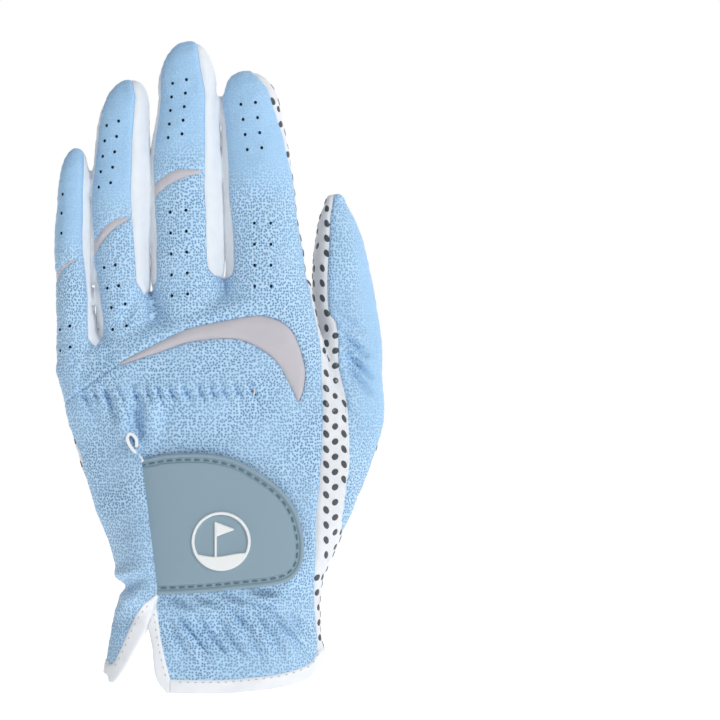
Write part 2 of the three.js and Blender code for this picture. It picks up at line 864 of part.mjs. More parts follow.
// The tab is flat over its middle and follows the hand down on both sides.
const FLAT_MIDDLE = 4;
const FLAT_HALF = 8;
function sag(x) {
  const past = Math.max(0, Math.abs(x - FLAT_MIDDLE) - FLAT_HALF);
  return 0.0052 * past * past;
}

// A layer between two heights above the tab's underside, inside an outline.
function tabLayer(outline, low, high) {
  const columns = [];
  for (let x = -34; x <= 42; x += 2) columns.push(x);
  const under = columns.map((x) => [x, TAB_BASE_Y - low + sag(x)]);
  const over = columns.map((x) => [x, TAB_BASE_Y - high + sag(x)]).reverse();
  const geometry = new THREE.ExtrudeGeometry(polygon([...under, ...over]), {
    depth: 70,
    bevelEnabled: false,
  });
  geometry.translate(0, 0, 20);
  return fromExtrude(geometry).intersect(prismAlongY(polygon(outline), -FAR, 0));
}

const plate = tabLayer(TAB_OUTLINE, 0, TAB_THICKNESS);
const tabPrism = prismAlongY(polygon(TAB_OUTLINE), -FAR, 0);
const rim = tabLayer(TAB_OUTLINE, TAB_THICKNESS - 0.1, TAB_THICKNESS + TAB_RELIEF).subtract(
  tabLayer(inset(FIELD_OUTLINE, 1.4), TAB_THICKNESS - 0.2, TAB_THICKNESS + TAB_RELIEF + 1),
);
const field = tabLayer(
  inset(FIELD_OUTLINE, 3.2),
  TAB_THICKNESS - 0.1,
  TAB_THICKNESS + TAB_RELIEF,
).intersect(tabPrism);
addNode("tab_body", "teal_rubber", plate.add(rim).add(field));

const stitchBottom = TAB_THICKNESS + 0.1;
const stitchTop = TAB_THICKNESS + TAB_RELIEF - 0.05;
addNode(
  "tab_stitching",
  "thread",
  tabLayer(inset(FIELD_OUTLINE, 1.8), stitchBottom, stitchTop)
    .subtract(tabLayer(inset(FIELD_OUTLINE, 2.8), stitchBottom - 1, stitchTop + 1))
    .intersect(tabPrism),
);

// The raised emblem: a flag on a putting green inside a ring.
const EMBLEM = { x: 3, z: 49, radius: 9.5, line: 0.9 };
function ringShape(radius, width) {
  const shape = new THREE.Shape().absarc(EMBLEM.x, EMBLEM.z, radius, 0, Math.PI * 2, false);
  shape.holes.push(
    new THREE.Path().absarc(EMBLEM.x, EMBLEM.z, radius - width, 0, Math.PI * 2, true),
  );
  return shape;
}
const green = new THREE.Shape();
green.absarc(
  EMBLEM.x,
  EMBLEM.z,
  EMBLEM.radius - EMBLEM.line / 2,
  Math.PI * 1.15,
  Math.PI * 1.85,
  false,
);
const pole = polygon([
  [EMBLEM.x - 1.9, EMBLEM.z - 6],
  [EMBLEM.x - 1.1, EMBLEM.z - 6],
  [EMBLEM.x - 1.1, EMBLEM.z + 6.2],
  [EMBLEM.x - 1.9, EMBLEM.z + 6.2],
]);
const pennant = polygon([
  [EMBLEM.x - 1.5, EMBLEM.z + 6.2],
  [EMBLEM.x - 1.5, EMBLEM.z + 1.6],
  [EMBLEM.x + 4.6, EMBLEM.z + 3.9],
]);
const emblemTop = TAB_THICKNESS + TAB_RELIEF + 0.9;
const emblemBottom = TAB_THICKNESS + TAB_RELIEF + 0.25;
const emblemFlat = joinAll(
  [ringShape(EMBLEM.radius, EMBLEM.line), green, pole, pennant].map((shape) =>
    prismAlongY(shape, -FAR, 0),
  ),
);
addNode(
  "tab_emblem",
  "white_rubber",
  largest(
    emblemFlat.intersect(
      tabLayer([[-20, 25], [40, 25], [40, 75], [-20, 75]], emblemBottom, emblemTop),
    ),
  ),
);

// Hook tape under the tab, and the loop tape it holds on to.
const HOOK_CURVE = [
  [4, 39],
  [20, 39.5],
  [25.4, 46],
  [24, 56],
  [18, 64],
  [4, 68],
  [4, 39],
];
const HOOK_OUTLINE = curveThrough(HOOK_CURVE, 30).slice(0, -1).reverse();
const LOOP_OUTLINE = [
  [2.5, 36.5],
  [26, 36.5],
  [27.5, 50],
  [22, 66],
  [2.5, 70],
];
addNode("tab_hook_patch", "hook_tape", tabLayer(HOOK_OUTLINE, -0.6, -GAP / 3));
addNode("loop_patch", "hook_tape", tabLayer(LOOP_OUTLINE, -1.3, -0.7));

export default glove;
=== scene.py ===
"""A golf glove for the left hand: the looks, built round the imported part.

Shapes are worked out in millimetres, in the part's frame, and turned into metres when a piece
becomes a Blender object. +Z runs to the fingertips, the back of the hand faces -Y, the thumb
is on the +X side. One smooth skin is made first; each panel is a cut-out of that skin.
"""

import math

import bpy
import numpy as np
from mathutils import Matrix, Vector
from mathutils.bvhtree import BVHTree


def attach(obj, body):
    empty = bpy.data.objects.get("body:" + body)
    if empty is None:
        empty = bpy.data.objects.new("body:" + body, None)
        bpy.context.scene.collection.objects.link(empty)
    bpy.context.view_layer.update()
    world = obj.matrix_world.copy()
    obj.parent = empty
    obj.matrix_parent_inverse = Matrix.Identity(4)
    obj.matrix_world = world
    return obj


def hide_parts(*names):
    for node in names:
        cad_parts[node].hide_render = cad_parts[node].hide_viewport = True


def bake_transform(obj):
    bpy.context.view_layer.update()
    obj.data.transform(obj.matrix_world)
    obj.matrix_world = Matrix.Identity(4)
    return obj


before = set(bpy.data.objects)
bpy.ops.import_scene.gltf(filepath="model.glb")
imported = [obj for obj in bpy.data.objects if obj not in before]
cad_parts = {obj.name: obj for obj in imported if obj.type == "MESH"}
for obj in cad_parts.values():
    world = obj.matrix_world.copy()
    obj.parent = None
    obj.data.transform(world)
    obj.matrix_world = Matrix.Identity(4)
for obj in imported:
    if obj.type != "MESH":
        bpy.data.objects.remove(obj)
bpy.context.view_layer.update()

MM = 0.001
WALL = 1.1  # mm, a panel's thickness
FAR = 90  # mm, where rays start, well outside the glove

# ---------------------------------------------------------------- sizes of the hand and digits

# left x, left z, right x, right z, back, palm
HAND = [
    (-37.0, -10, 37.2, -10, 13.0, 13.0),
    (-36.4, 5, 37.0, 7, 13.0, 13.0),
    (-33.8, 19, 35.4, 20, 12.2, 12.4),
    (-31.2, 33, 36.0, 34, 11.8, 12.0),
    (-34.5, 48, 42.0, 50, 12.4, 12.8),
    (-40.4, 64, 48.6, 68, 13.0, 13.6),
    (-44.8, 78, 46.5, 86, 13.0, 13.8),
    (-48.6, 90, 39.5, 102, 12.4, 13.0),
    (-50.6, 98, 35.4, 117, 11.2, 11.8),
    (-52.2, 105, 32.4, 134, 9.6, 10.0),
]
HAND_DOME = 6.0

# rows of z, x, half width, half depth, y; then the tip's z and x, and the joint's z
DIGITS = {
    "index": (
        [
            (112, 17.4, 14.0, 8.6, 0),
            (128, 17.4, 14.2, 8.4, 0),
            (135, 17.5, 13.4, 8.3, 0),
            (142, 17.6, 12.4, 8.1, 0),
            (156, 16.2, 11.7, 7.8, 0),
            (172, 14.7, 11.1, 7.5, 0),
            (188, 12.9, 9.9, 7.0, 0),
        ],
        (205.0, 10.6),
        165.0,
    ),
    "middle": (
        [
            (112, -8.3, 12.2, 8.6, 0),
            (126, -8.3, 12.0, 8.4, 0),
            (136, -8.7, 11.3, 8.2, 0),
            (150, -9.0, 11.2, 8.1, 0),
            (172, -9.3, 11.2, 7.8, 0),
            (184, -9.0, 10.5, 7.4, 0),
            (196, -8.6, 9.6, 6.8, 0),
        ],
        (214.5, -8.3),
        173.0,
    ),
    "ring": (
        [
            (104, -27.6, 9.0, 8.2, 0),
            (118, -28.2, 9.2, 8.0, 0),
            (126, -29.2, 9.2, 7.9, 0),
            (134, -30.5, 8.8, 7.8, 0),
            (150, -31.2, 9.3, 7.5, 0),
            (170, -31.0, 9.1, 7.2, 0),
            (186, -30.0, 8.4, 6.6, 0),
        ],
        (202.0, -28.0),
        157.0,
    ),
    "pinky": (
        [
            (96, -43.0, 7.0, 7.4, 0),
            (110, -44.6, 7.2, 7.2, 0),
            (124, -46.0, 6.0, 6.8, 0),
            (140, -46.8, 5.8, 6.5, 0),
            (154, -46.9, 5.6, 6.3, 0),
            (163, -46.6, 5.4, 6.0, 0),
        ],
        (179.5, -45.6),
        143.6,
    ),
    "thumb": (
        [
            (52, 29.0, 11.5, 10.0, 0.5),
            (62, 33.5, 13.3, 10.4, 1.8),
            (75, 38.5, 14.0, 10.4, 4.0),
            (89, 42.4, 13.4, 9.8, 6.6),
            (102, 44.0, 12.1, 9.4, 9.0),
            (115, 44.5, 11.2, 9.0, 11.0),
            (130, 43.2, 10.3, 8.6, 12.6),
            (142, 41.8, 9.4, 8.2, 13.2),
            (150, 41.3, 7.7, 7.1, 13.3),
            (155.5, 40.9, 6.2, 6.0, 13.3),
            (159, 40.5, 4.8, 4.9, 13.3),
            (161.5, 40.3, 3.3, 3.5, 13.3),
        ],
        (164.6, 40.2),
        127.0,
    ),
}
FINGERS = ("index", "middle", "ring", "pinky")
SPLIT = {"index": 148.0, "middle": 148.0, "ring": 138.0, "pinky": 128.0, "thumb": 110.0}
PINKYWARD = dict(zip(FINGERS, FINGERS[1:]))  # a finger's neighbour on the pinky side
BETWEEN = {"index": 2.45, "middle": -21.0, "ring": -40.7}  # x of the gap on a finger's pinky side
REACH = {  # the x range that belongs to a finger
    "index": (BETWEEN["index"], 99),
    "middle": (BETWEEN["middle"], BETWEEN["index"]),
    "ring": (BETWEEN["ring"], BETWEEN["middle"]),
    "pinky": (-99, BETWEEN["ring"]),
}

KNUCKLE_SLANT = math.radians(20)
KNUCKLE_UP = np.array([-math.sin(KNUCKLE_SLANT), 0, math.cos(KNUCKLE_SLANT)])
KNUCKLE_LINE = 113.0
KNUCKLE_BEND = (-15.5, 9.9)  # the bend's start and end heights, over the knuckle line
TIP_BEND = 12.0  # and its reach on both sides of a finger's joint
TAB_BEND = 2.4  # and on both sides of the tab's sewn edge

# ---------------------------------------------------------------- the smooth skin


def smooth_rows(rows, steps):
    rows = np.array(rows, float)
    out = []
    for i in range(len(rows) - 1):
        before, here = rows[max(0, i - 1)], rows[i]
        after, last = rows[i + 1], rows[min(len(rows) - 1, i + 2)]
        slope_in, slope_out, rise = (after - before) / 2, (last - here) / 2, after - here
        for t in np.arange(steps) / steps:
            bend = 3 * rise - 2 * slope_in - slope_out
            twist = slope_in + slope_out - 2 * rise
            out.append(here + slope_in * t + bend * t**2 + twist * t**3)
    out.append(rows[-1])
    return np.array(out)


AROUND = 2 * np.pi * np.arange(64) / 64


def section(centre, across, back, palm, power):
    side = np.sign(np.cos(AROUND)) * np.abs(np.cos(AROUND)) ** (2 / power)
    depth = np.sign(np.sin(AROUND)) * np.abs(np.sin(AROUND)) ** (2 / power)
    reach = np.where(depth > 0, palm, back) * depth
    return np.stack(
        [centre[0] + across[0] * side, centre[1] + reach, centre[2] + across[1] * side], 1
    )


def tube(rings):
    """A closed tube through rings of points, as (points, faces)."""
    count = len(rings[0])
    points = np.concatenate([*rings, [rings[0].mean(0)], [rings[-1].mean(0)]])
    bottom = len(rings) * count
    faces = []
    for i in range(count):
        j = (i + 1) % count
        faces.append((bottom, j, i))
        for r in range(len(rings) - 1):
            a, b = r * count + i, r * count + j
            faces.append((a, b, b + count, a + count))
        faces.append((bottom - count + i, bottom - count + j, bottom + 1))
    return points, faces


DOME = [(r, (1 - r**2.2) ** (1 / 2.2)) for r in np.sin(np.pi / 2 * np.arange(1, 10) / 9.6)]


def hand_tube():
    rings = []
    for lx, lz, rx, rz, back, palm in smooth_rows(HAND, 5):
        across = ((rx - lx) / 2, (rz - lz) / 2)
        centre = ((lx + rx) / 2, 0, (lz + rz) / 2)
        rings.append(section(centre, across, back, palm, 2.5))
    up = np.array([-across[1], 0, across[0]]) / math.hypot(*across)
    for rise, size in DOME:
        place = np.array(centre) + up * HAND_DOME * rise
        wide = [v * (0.5 + size / 2) for v in across]
        rings.append(section(place, wide, back * size, palm * size, 2.5))
    return tube(rings)


def digit_tube(name):
    rows, tip, _ = DIGITS[name]
    rings = []
    for z, x, half_width, half_depth, y in smooth_rows(rows, 5):
        rings.append(section((x, y, z), (half_width, 0), half_depth, half_depth, 2.25))
    for rise, size in DOME:
        place = (x + (tip[1] - x) * rise, y, z + (tip[0] - z) * rise)
        rings.append(
            section(place, (half_width * size, 0), half_depth * size, half_depth * size, 2.25)
        )
    return tube(rings)


def in_scene(name, data):
    """A new object for a mesh, lamp or camera."""
    made = bpy.data.objects.new(name, data)
    bpy.context.scene.collection.objects.link(made)
    return made


def joined_skin(voxel):
    """The union of the hand and the digits as even, softened triangles: points, normals, faces."""
    points, faces, start = [], [], 0
    for some, f in [hand_tube(), *[digit_tube(name) for name in DIGITS]]:
        points.append(some)
        faces += [tuple(i + start for i in face) for face in f]
        start += len(some)
    mesh = bpy.data.meshes.new("skin")
    mesh.from_pydata(np.concatenate(points).tolist(), [], faces)
    holder = in_scene("skin", mesh)
    remesh = holder.modifiers.new("remesh", "REMESH")
    remesh.mode = "VOXEL"
    remesh.voxel_size = voxel
    soften = holder.modifiers.new("soften", "SMOOTH")
    soften.factor = 0.5
    soften.iterations = 8
    made = holder.evaluated_get(bpy.context.evaluated_depsgraph_get()).to_mesh()
    made.calc_loop_triangles()
    count = len(made.vertices)
    co = np.zeros(count * 3)
    made.vertices.foreach_get("co", co)
    no = np.zeros(count * 3, np.float32)
    made.vertex_normals.foreach_get("vector", no)
    tri = np.zeros(len(made.loop_triangles) * 3, np.int32)
    made.loop_triangles.foreach_get("vertices", tri)
    out = co.reshape(-1, 3), no.reshape(-1, 3).astype(float), tri.reshape(-1, 3).astype(int)
    bpy.data.objects.remove(holder)
    return out


# ---------------------------------------------------------------- cutting a skin along fields


def ramp(v, low, high):
    t = np.clip((v - low) / (high - low), 0, 1)
    return t * t * (3 - 2 * t)


def unit(v):
    return v / np.maximum(np.linalg.norm(v, axis=-1, keepdims=True), 1e-12)


def cut(skin, field, keep_both=False):
    """The part of a skin where the field is under zero, cut cleanly along its zero line."""
    points, normals, tri = skin
    value = field(points)
    value = np.where(np.abs(value) < 1e-6, 1e-6, value)
    under = value < 0
    count = under[tri].sum(1)
    if not keep_both and not under.any():
        return points[:0], normals[:0], tri[:0]
    whole = tri[count == 3]
    out = [whole]
    if keep_both:
        out.append(tri[count == 0])
    mixed = tri[(count == 1) | (count == 2)]
    if len(mixed):
        flags = under[mixed]
        lone = np.where(flags.sum(1) == 1, flags.argmax(1), (~flags).argmax(1))
        rows = np.arange(len(mixed))
        a = mixed[rows, lone]
        b = mixed[rows, (lone + 1) % 3]
        c = mixed[rows, (lone + 2) % 3]
        total = len(points)
        key_ab = np.minimum(a, b) * total + np.maximum(a, b)
        key_ac = np.minimum(a, c) * total + np.maximum(a, c)
        keys, where = np.unique(np.concatenate([key_ab, key_ac]), return_inverse=True)
        low, high = keys // total, keys % total
        t = (value[low] / (value[low] - value[high]))[:, None]
        points = np.concatenate([points, points[low] * (1 - t) + points[high] * t])
        normals = np.concatenate([normals, unit(normals[low] * (1 - t) + normals[high] * t)])
        ab, ac = total + where[: len(a)], total + where[len(a) :]
        tip = np.stack([a, ab, ac], 1)
        rest = np.concatenate([np.stack([ab, b, c], 1), np.stack([ab, c, ac], 1)])
        lone_under = under[a]
        both = np.concatenate([lone_under, lone_under])
        if keep_both:
            out += [tip, rest]
        else:
            out += [tip[lone_under], rest[~both]]
    tri = np.concatenate(out)
    used, index = np.unique(tri, return_inverse=True)
    return points[used], normals[used], index.reshape(-1, 3)


def grid_faces(rows, columns):
    i, j = np.meshgrid(np.arange(rows - 1), np.arange(columns - 1), indexing="ij")
    a = (i * columns + j).ravel()
    b, c, d = a + columns, a + columns + 1, a + 1
    return np.concatenate([np.stack([a, b, c], 1), np.stack([a, c, d], 1)])


def border_edges(tri, count):
    edges = np.concatenate([tri[:, [0, 1]], tri[:, [1, 2]], tri[:, [2, 0]]])
    key = edges[:, 0] * count + edges[:, 1]
    back = edges[:, 1] * count + edges[:, 0]
    return edges[~np.isin(key, back)]


# ---------------------------------------------------------------- fields, in millimetres


def right_of(line):
    """x past a line of (x, z) points that rises in z."""
    line = np.array(sorted(line, key=lambda p: p[1]), float)
    return lambda p: p[:, 0] - np.interp(p[:, 2], line[:, 1], line[:, 0])


def above(line):
    """z past a line of (x, z) points that runs along x."""
    line = np.array(sorted(line), float)
    return lambda p: p[:, 2] - np.interp(p[:, 0], line[:, 0], line[:, 1])


def minus(field):
    return lambda p: -field(p)


def most(*fields):
    return lambda p: np.max([f(p) for f in fields], 0)


def least(*fields):
    return lambda p: np.min([f(p) for f in fields], 0)


def grown(field, by):
    return lambda p: field(p) - by


def spline(points, steps=6, closed=False):
    """Points along a smooth curve through the given ones."""
    if closed:
        ring = [points[-1], *points, points[0], points[1]]
        return smooth_rows(ring, steps)[steps : -2 * steps + steps - 1]
    return smooth_rows(points, steps)


def to_line(p, line):
    """Distance in X-Z from points to an open line, and how far along it the nearest place is."""
    line = np.array(line, float)
    best = np.full(len(p), 1e9)
    along = np.zeros(len(p))
    run = 0.0
    for a, b in zip(line[:-1], line[1:]):
        d = b - a
        length = np.linalg.norm(d)
        q = p[:, [0, 2]] - a
        t = np.clip(q @ d / max(length**2, 1e-9), 0, 1)
        away = np.linalg.norm(q - t[:, None] * d, axis=1)
        closer = away < best
        best = np.where(closer, away, best)
        along = np.where(closer, run + t * length, along)
        run += length
    return best, along


def inside(outline):
    """Signed distance in X-Z to a closed outline, under zero inside it."""
    outline = np.array(outline, float)
    loop = np.vstack([outline, outline[:1]])

    def field(p):
        away, _ = to_line(p, loop)
        x, z = p[:, 0], p[:, 2]
        odd = np.zeros(len(p), bool)
        for (x0, z0), (x1, z1) in zip(loop[:-1], loop[1:]):
            crosses = (z0 > z) != (z1 > z)
            if z0 == z1:
                continue
            odd ^= crosses & (x < (x1 - x0) * (z - z0) / (z1 - z0) + x0)
        return np.where(odd, -away, away)

    return field


def back_side(p):
    return p[:, 1]


def x_of(name, z):
    rows = np.array(DIGITS[name][0], float)
    tip = DIGITS[name][1]
    return np.interp(z, [*rows[:, 0], tip[0]], [*rows[:, 1], tip[1]])


def digit_depth(name):
    """Roughly the distance outside a digit's surface."""
    rows, tip, _ = DIGITS[name]
    rows = np.array([*rows, (tip[0], tip[1], 3, 3, rows[-1][4])], float)

    def field(p):
        x, half_width, half_depth, y = (np.interp(p[:, 2], rows[:, 0], row) for row in rows.T[1:])
        side = np.abs((p[:, 0] - x) / half_width) ** 2.25
        depth = np.abs((p[:, 1] - y) / half_depth) ** 2.25
        return ((side + depth) ** (1 / 2.25) - 1) * half_width

    return field


thumb_depth, index_depth = digit_depth("thumb"), digit_depth("index")
thumb_zone = most(
    lambda p: SPLIT["thumb"] - p[:, 2], lambda p: thumb_depth(p) - index_depth(p)
)


def over_knuckles(p):
    return p @ KNUCKLE_UP - KNUCKLE_LINE


# the cuff
HEM_BACK = spline(
    [(-60, 8), (-37, 5.6), (-33.5, 2.6), (-24, 0.4), (-13.2, -0.5), (1.7, -0.7), (11.9, 0.0)]
    + [(22.4, 1.3), (32, 4.3), (37, 9.5), (60, 20)]
)
HEM_PALM = spline(
    [(-60, 8), (-37, 5.6), (-20, 1.4), (0, 0.2), (20, 1.6), (32, 4.6), (37, 9.5), (60, 20)]
)
TAPE_WIDE = 4.5


def over_hem(p):
    on_back = p[:, 2] - np.interp(p[:, 0], HEM_BACK[:, 0], HEM_BACK[:, 1])
    on_palm = p[:, 2] - np.interp(p[:, 0], HEM_PALM[:, 0], HEM_PALM[:, 1])
    share = np.clip(p[:, 1] / 6 + 0.5, 0, 1)
    return on_back * (1 - share) + on_palm * share


# the V at the wrist: the free edges of its two flaps, and where their tape ends
SLIT_APEX = (-21.5, 21.0)
LEFT_FREE = spline([SLIT_APEX, (-22.9, 18.2), (-24.8, 14.8), (-28.5, 7.9), (-30.9, 4.2), (-33.4, 1.5)])
RIGHT_FREE = spline([SLIT_APEX, (-20.6, 17.4), (-19.8, 13.7), (-19.0, 6.3), (-17.4, 2.1), (-14.6, -0.8)])
LEFT_TAPE = spline(
    [(-17.7, 32.6), (-22.4, 28.7), (-26.3, 23.2), (-31.1, 12.7), (-33.2, 8.9), (-34.9, 8.6), (-37.4, 10.4)]
)
RIGHT_TAPE = spline([(-17.7, 32.6), (-18.2, 27.4), (-17.4, 20.0), (-15.6, 10.6), (-13.8, 4.2)])
wrist_gap = most(inside([*LEFT_FREE, (-33.4, -20), (-14.6, -20), *RIGHT_FREE[::-1]]), back_side)
left_tape_rim = inside([*LEFT_FREE, (-40, -6), (-40, 10.4), *LEFT_TAPE[::-1]])
right_tape_rim = inside([*RIGHT_FREE, (-13.6, -3), *RIGHT_TAPE[::-1]])
left_tape, right_tape = most(left_tape_rim, back_side), most(right_tape_rim, back_side)
hem_tape = grown(over_hem, TAPE_WIDE)
wrist_gap_and_tape = most(
    inside([*LEFT_TAPE, (-40, 10.4), (-40, -20), (-13.6, -20), *RIGHT_TAPE[::-1]]),
    back_side,
)
under_tape = least(wrist_gap_and_tape, hem_tape)

# the slit under the tab's left edge
SLIT = [(-31.5, 112), (-28.3, 88), (-26.6, 83), (-23.2, 76), (-18.1, 34), (-19.4, 26)]
right_of_slit = right_of(SLIT)

# seams on the back
THUMB_SIDE = [(33.8, -20), (35.0, 12.5), (34.0, 27), (34.0, 53), (35.0, 66), (36.0, 80), (36.4, 98)]
THUMB_SIDE += [(35.6, 112), (33.0, 128), (31.0, 139), (28.6, 154), (26.4, 168), (24.2, 177)]
THUMB_SIDE += [(22.9, 184), (20.4, 192), (17.6, 199), (13.0, 204.5)]
past_thumb_side = right_of(spline(THUMB_SIDE, 4))

INSERT_TOP = [(-30.7, 108.2), (-21.5, 112.9), (-8.6, 119.1), (3, 121.8), (11.9, 123.4), (17.8, 123.4)]
INSERT_TOP += [(24.4, 120.5), (28.1, 115.2), (30.4, 108.2), (30.7, 103.6), (30, 98.7), (28.5, 94.9)]
INSERT_LOW = [(28.1, 94.9), (25.1, 101.3), (21.5, 107.6), (16.2, 112.2), (8.9, 115.5), (1, 115.8)]
INSERT_LOW += [(-8.6, 114.5), (-17.5, 111.4), (-30.7, 107.0)]
knuckle_gap = most(inside([*spline(INSERT_TOP), *spline(INSERT_LOW)]), back_side)
KNUCKLE_SEAM = [(-60, 88), (-49.2, 94.7), (-39.9, 101.6), (-34.3, 105.3), (-30.7, 107.6)]
KNUCKLE_SEAM += [(-8.6, 116.5), (8, 118.5), (18, 117.5), (24.5, 112), (28.3, 100), (29.0, 94.6), (60, 93)]
over_knuckle_seam = above(KNUCKLE_SEAM)


def seam_left_of_insert(p):
    return p[:, 0] < -29.5


# seams between the fingers, seen from the back: the left finger's edge, the right one's, and the
# lowest z of the strip between them
WEBS = {
    "index": (  # its pinky side, next to the middle finger
        [(3.3, 136.0), (0.6, 136.9), (-1.3, 139.0), (-1.8, 143)]
        + [(-2.7, 165), (-2.6, 178), (-2.5, 198), (-5.5, 214)],
        [(3.5, 136.0), (5.6, 136.7), (6.6, 139.5), (6.1, 150)]
        + [(5.0, 167), (3.7, 184), (2.6, 192), (0.5, 205)],
        124.0,
    ),
    "middle": (
        [(-22.4, 130.6), (-25.3, 134.6), (-25.6, 142), (-26.3, 152)]
        + [(-27.0, 165), (-26.6, 180), (-25.6, 196), (-27, 202)],
        [(-22.2, 130.6), (-19.2, 134.8), (-19.0, 142), (-19.6, 158)]
        + [(-20.1, 172), (-19.7, 190), (-19.5, 205), (-18, 214)],
        117.0,
    ),
    "ring": (
        [(-39.2, 113.6), (-41.2, 116.0), (-41.4, 122), (-41.3, 130)]
        + [(-42.6, 150), (-42.8, 160), (-42.6, 170), (-42.6, 179)],
        [(-39.0, 113.6), (-36.8, 117.0), (-36.4, 123), (-38.0, 131)]
        + [(-40.4, 143), (-40.6, 158), (-40.2, 172), (-39.6, 202)],
        108.0,
    ),
}
STRIP_HALF = 3.6
NARROW_HALF = 2.2


def strip_half(p):
    """Half the depth of the strips: narrower on a finger's pinky side and towards its tip."""
    out = np.full(len(p), STRIP_HALF)
    for name, (low, high) in REACH.items():
        here = (p[:, 0] > low) & (p[:, 0] <= high)
        share = np.clip((DIGITS[name][1][0] - 2 - p[:, 2]) / 14, 0.05, 1)
        narrowed = ramp(p[:, 0] - low, -0.8, 0.4) * (p[:, 0] < x_of(name, p[:, 2])) * (low > -99)
        half = STRIP_HALF - (STRIP_HALF - NARROW_HALF) * narrowed
        out = np.where(here, half * share, out)
    return out


def web_strip(right_name):
    """The white strip between a finger and its neighbour on the pinky side."""
    left_line, right_line, root = WEBS[right_name]
    left_name = PINKYWARD[right_name]
    past_left, past_right = right_of(left_line), right_of(right_line)
    middle = BETWEEN[right_name]

    def field(p):
        half = strip_half(p)
        seen = np.maximum.reduce([-past_left(p), past_right(p), left_line[0][1] - p[:, 2]])
        within = -half * ramp(p[:, 2], left_line[0][1], left_line[0][1] + 9) - p[:, 1]
        x_left, x_right = x_of(left_name, p[:, 2]), x_of(right_name, p[:, 2])
        span = np.maximum(x_left - p[:, 0], p[:, 0] - x_right)
        between = np.minimum(seen, within)
        return np.maximum.reduce([between, p[:, 1] - half, span, root - p[:, 2]])

    return field


STRIPS = {name: web_strip(name) for name in WEBS}
any_strip = least(*STRIPS.values())


def pinky_edge(p):
    """How far a place on the pinky's edge of the glove is past the seam there, towards the palm."""
    x, y, z = p.T
    half = strip_half(p)
    outer = (x < x_of("pinky", z)) & (x < -20)
    lift = np.where((z > 34) & (z < 88), 4.4 * np.sin(np.clip((z - 34) / 54, 0, 1) * np.pi) ** 0.5, 0)
    half = np.where((x > x_of("index", z) + 3) & (z > 120), 0.0, half)
    return y - np.where(outer, 0.3 - lift, half)


palm_side = least(minus(pinky_edge), minus(past_thumb_side))

# the thumb
THUMB_BACK = [(42.9, 40), (42.9, 50.8), (43.2, 57.8), (44.2, 66.7), (45.2, 75.6), (44.8, 90), (43.2, 99)]
THUMB_BACK += [(41.3, 106.6), (41.2, 115.2), (40.2, 121.6), (37.7, 125.5), (37.6, 137.3), (38, 147.8)]
THUMB_BACK += [(38.3, 156), (39.6, 164)]
past_thumb_back = right_of(spline(THUMB_BACK, 3))
THUMB_EDGE = np.array(  # z and y
    [(38, -4.5), (44, -1.5), (52, 0.5), (75, 4), (102, 9), (130, 12.6), (142, 13.2), (170, 13.2)]
)


def past_thumb_edge(p):
    return p[:, 1] - np.interp(p[:, 2], THUMB_EDGE[:, 0], THUMB_EDGE[:, 1])


thumb_blue = most(minus(past_thumb_back), past_thumb_edge)

# patches on the palm
THUMB_PATCH = spline(
    [(31.0, 117.4), (24, 114.4), (12.9, 108.9), (5.3, 100.7), (2.3, 88.4), (2.6, 76.2)]
    + [(5.3, 65), (11.6, 55.8), (19.1, 49.8), (28, 43.9), (37.3, 42.0), (60, 40)]
)
thumb_patch = inside([*THUMB_PATCH, (80, 40), (80, 117.4)])
HEEL_INNER = spline(
    [(-6.2, 109.4), (-4, 99), (-5.9, 83.8), (-8.3, 67.3)]
    + [(-11.2, 54.5), (-17.5, 42.9), (-25.7, 38.4), (-44, 35)]
)
HEEL_OUTER = spline([(-6.2, 109.4), (-16.5, 101.3), (-27, 86), (-34, 72.6), (-50, 57)])
heel_patch = most(inside([*HEEL_OUTER, *HEEL_INNER[::-1]]), minus(back_side))

# ---------------------------------------------------------------- folds and puckers


def waves(p, length, seed):
    """Gentle unevenness: sine waves in a few fixed directions."""
    some = np.random.default_rng(seed)
    total = np.zeros(len(p))
    for _ in range(7):
        way = unit(some.normal(size=3))
        turns = p @ way * 2 * np.pi / (length * some.uniform(0.7, 1.4))
        total += np.sin(turns + some.uniform(0, 6.3))
    return total / 2.6


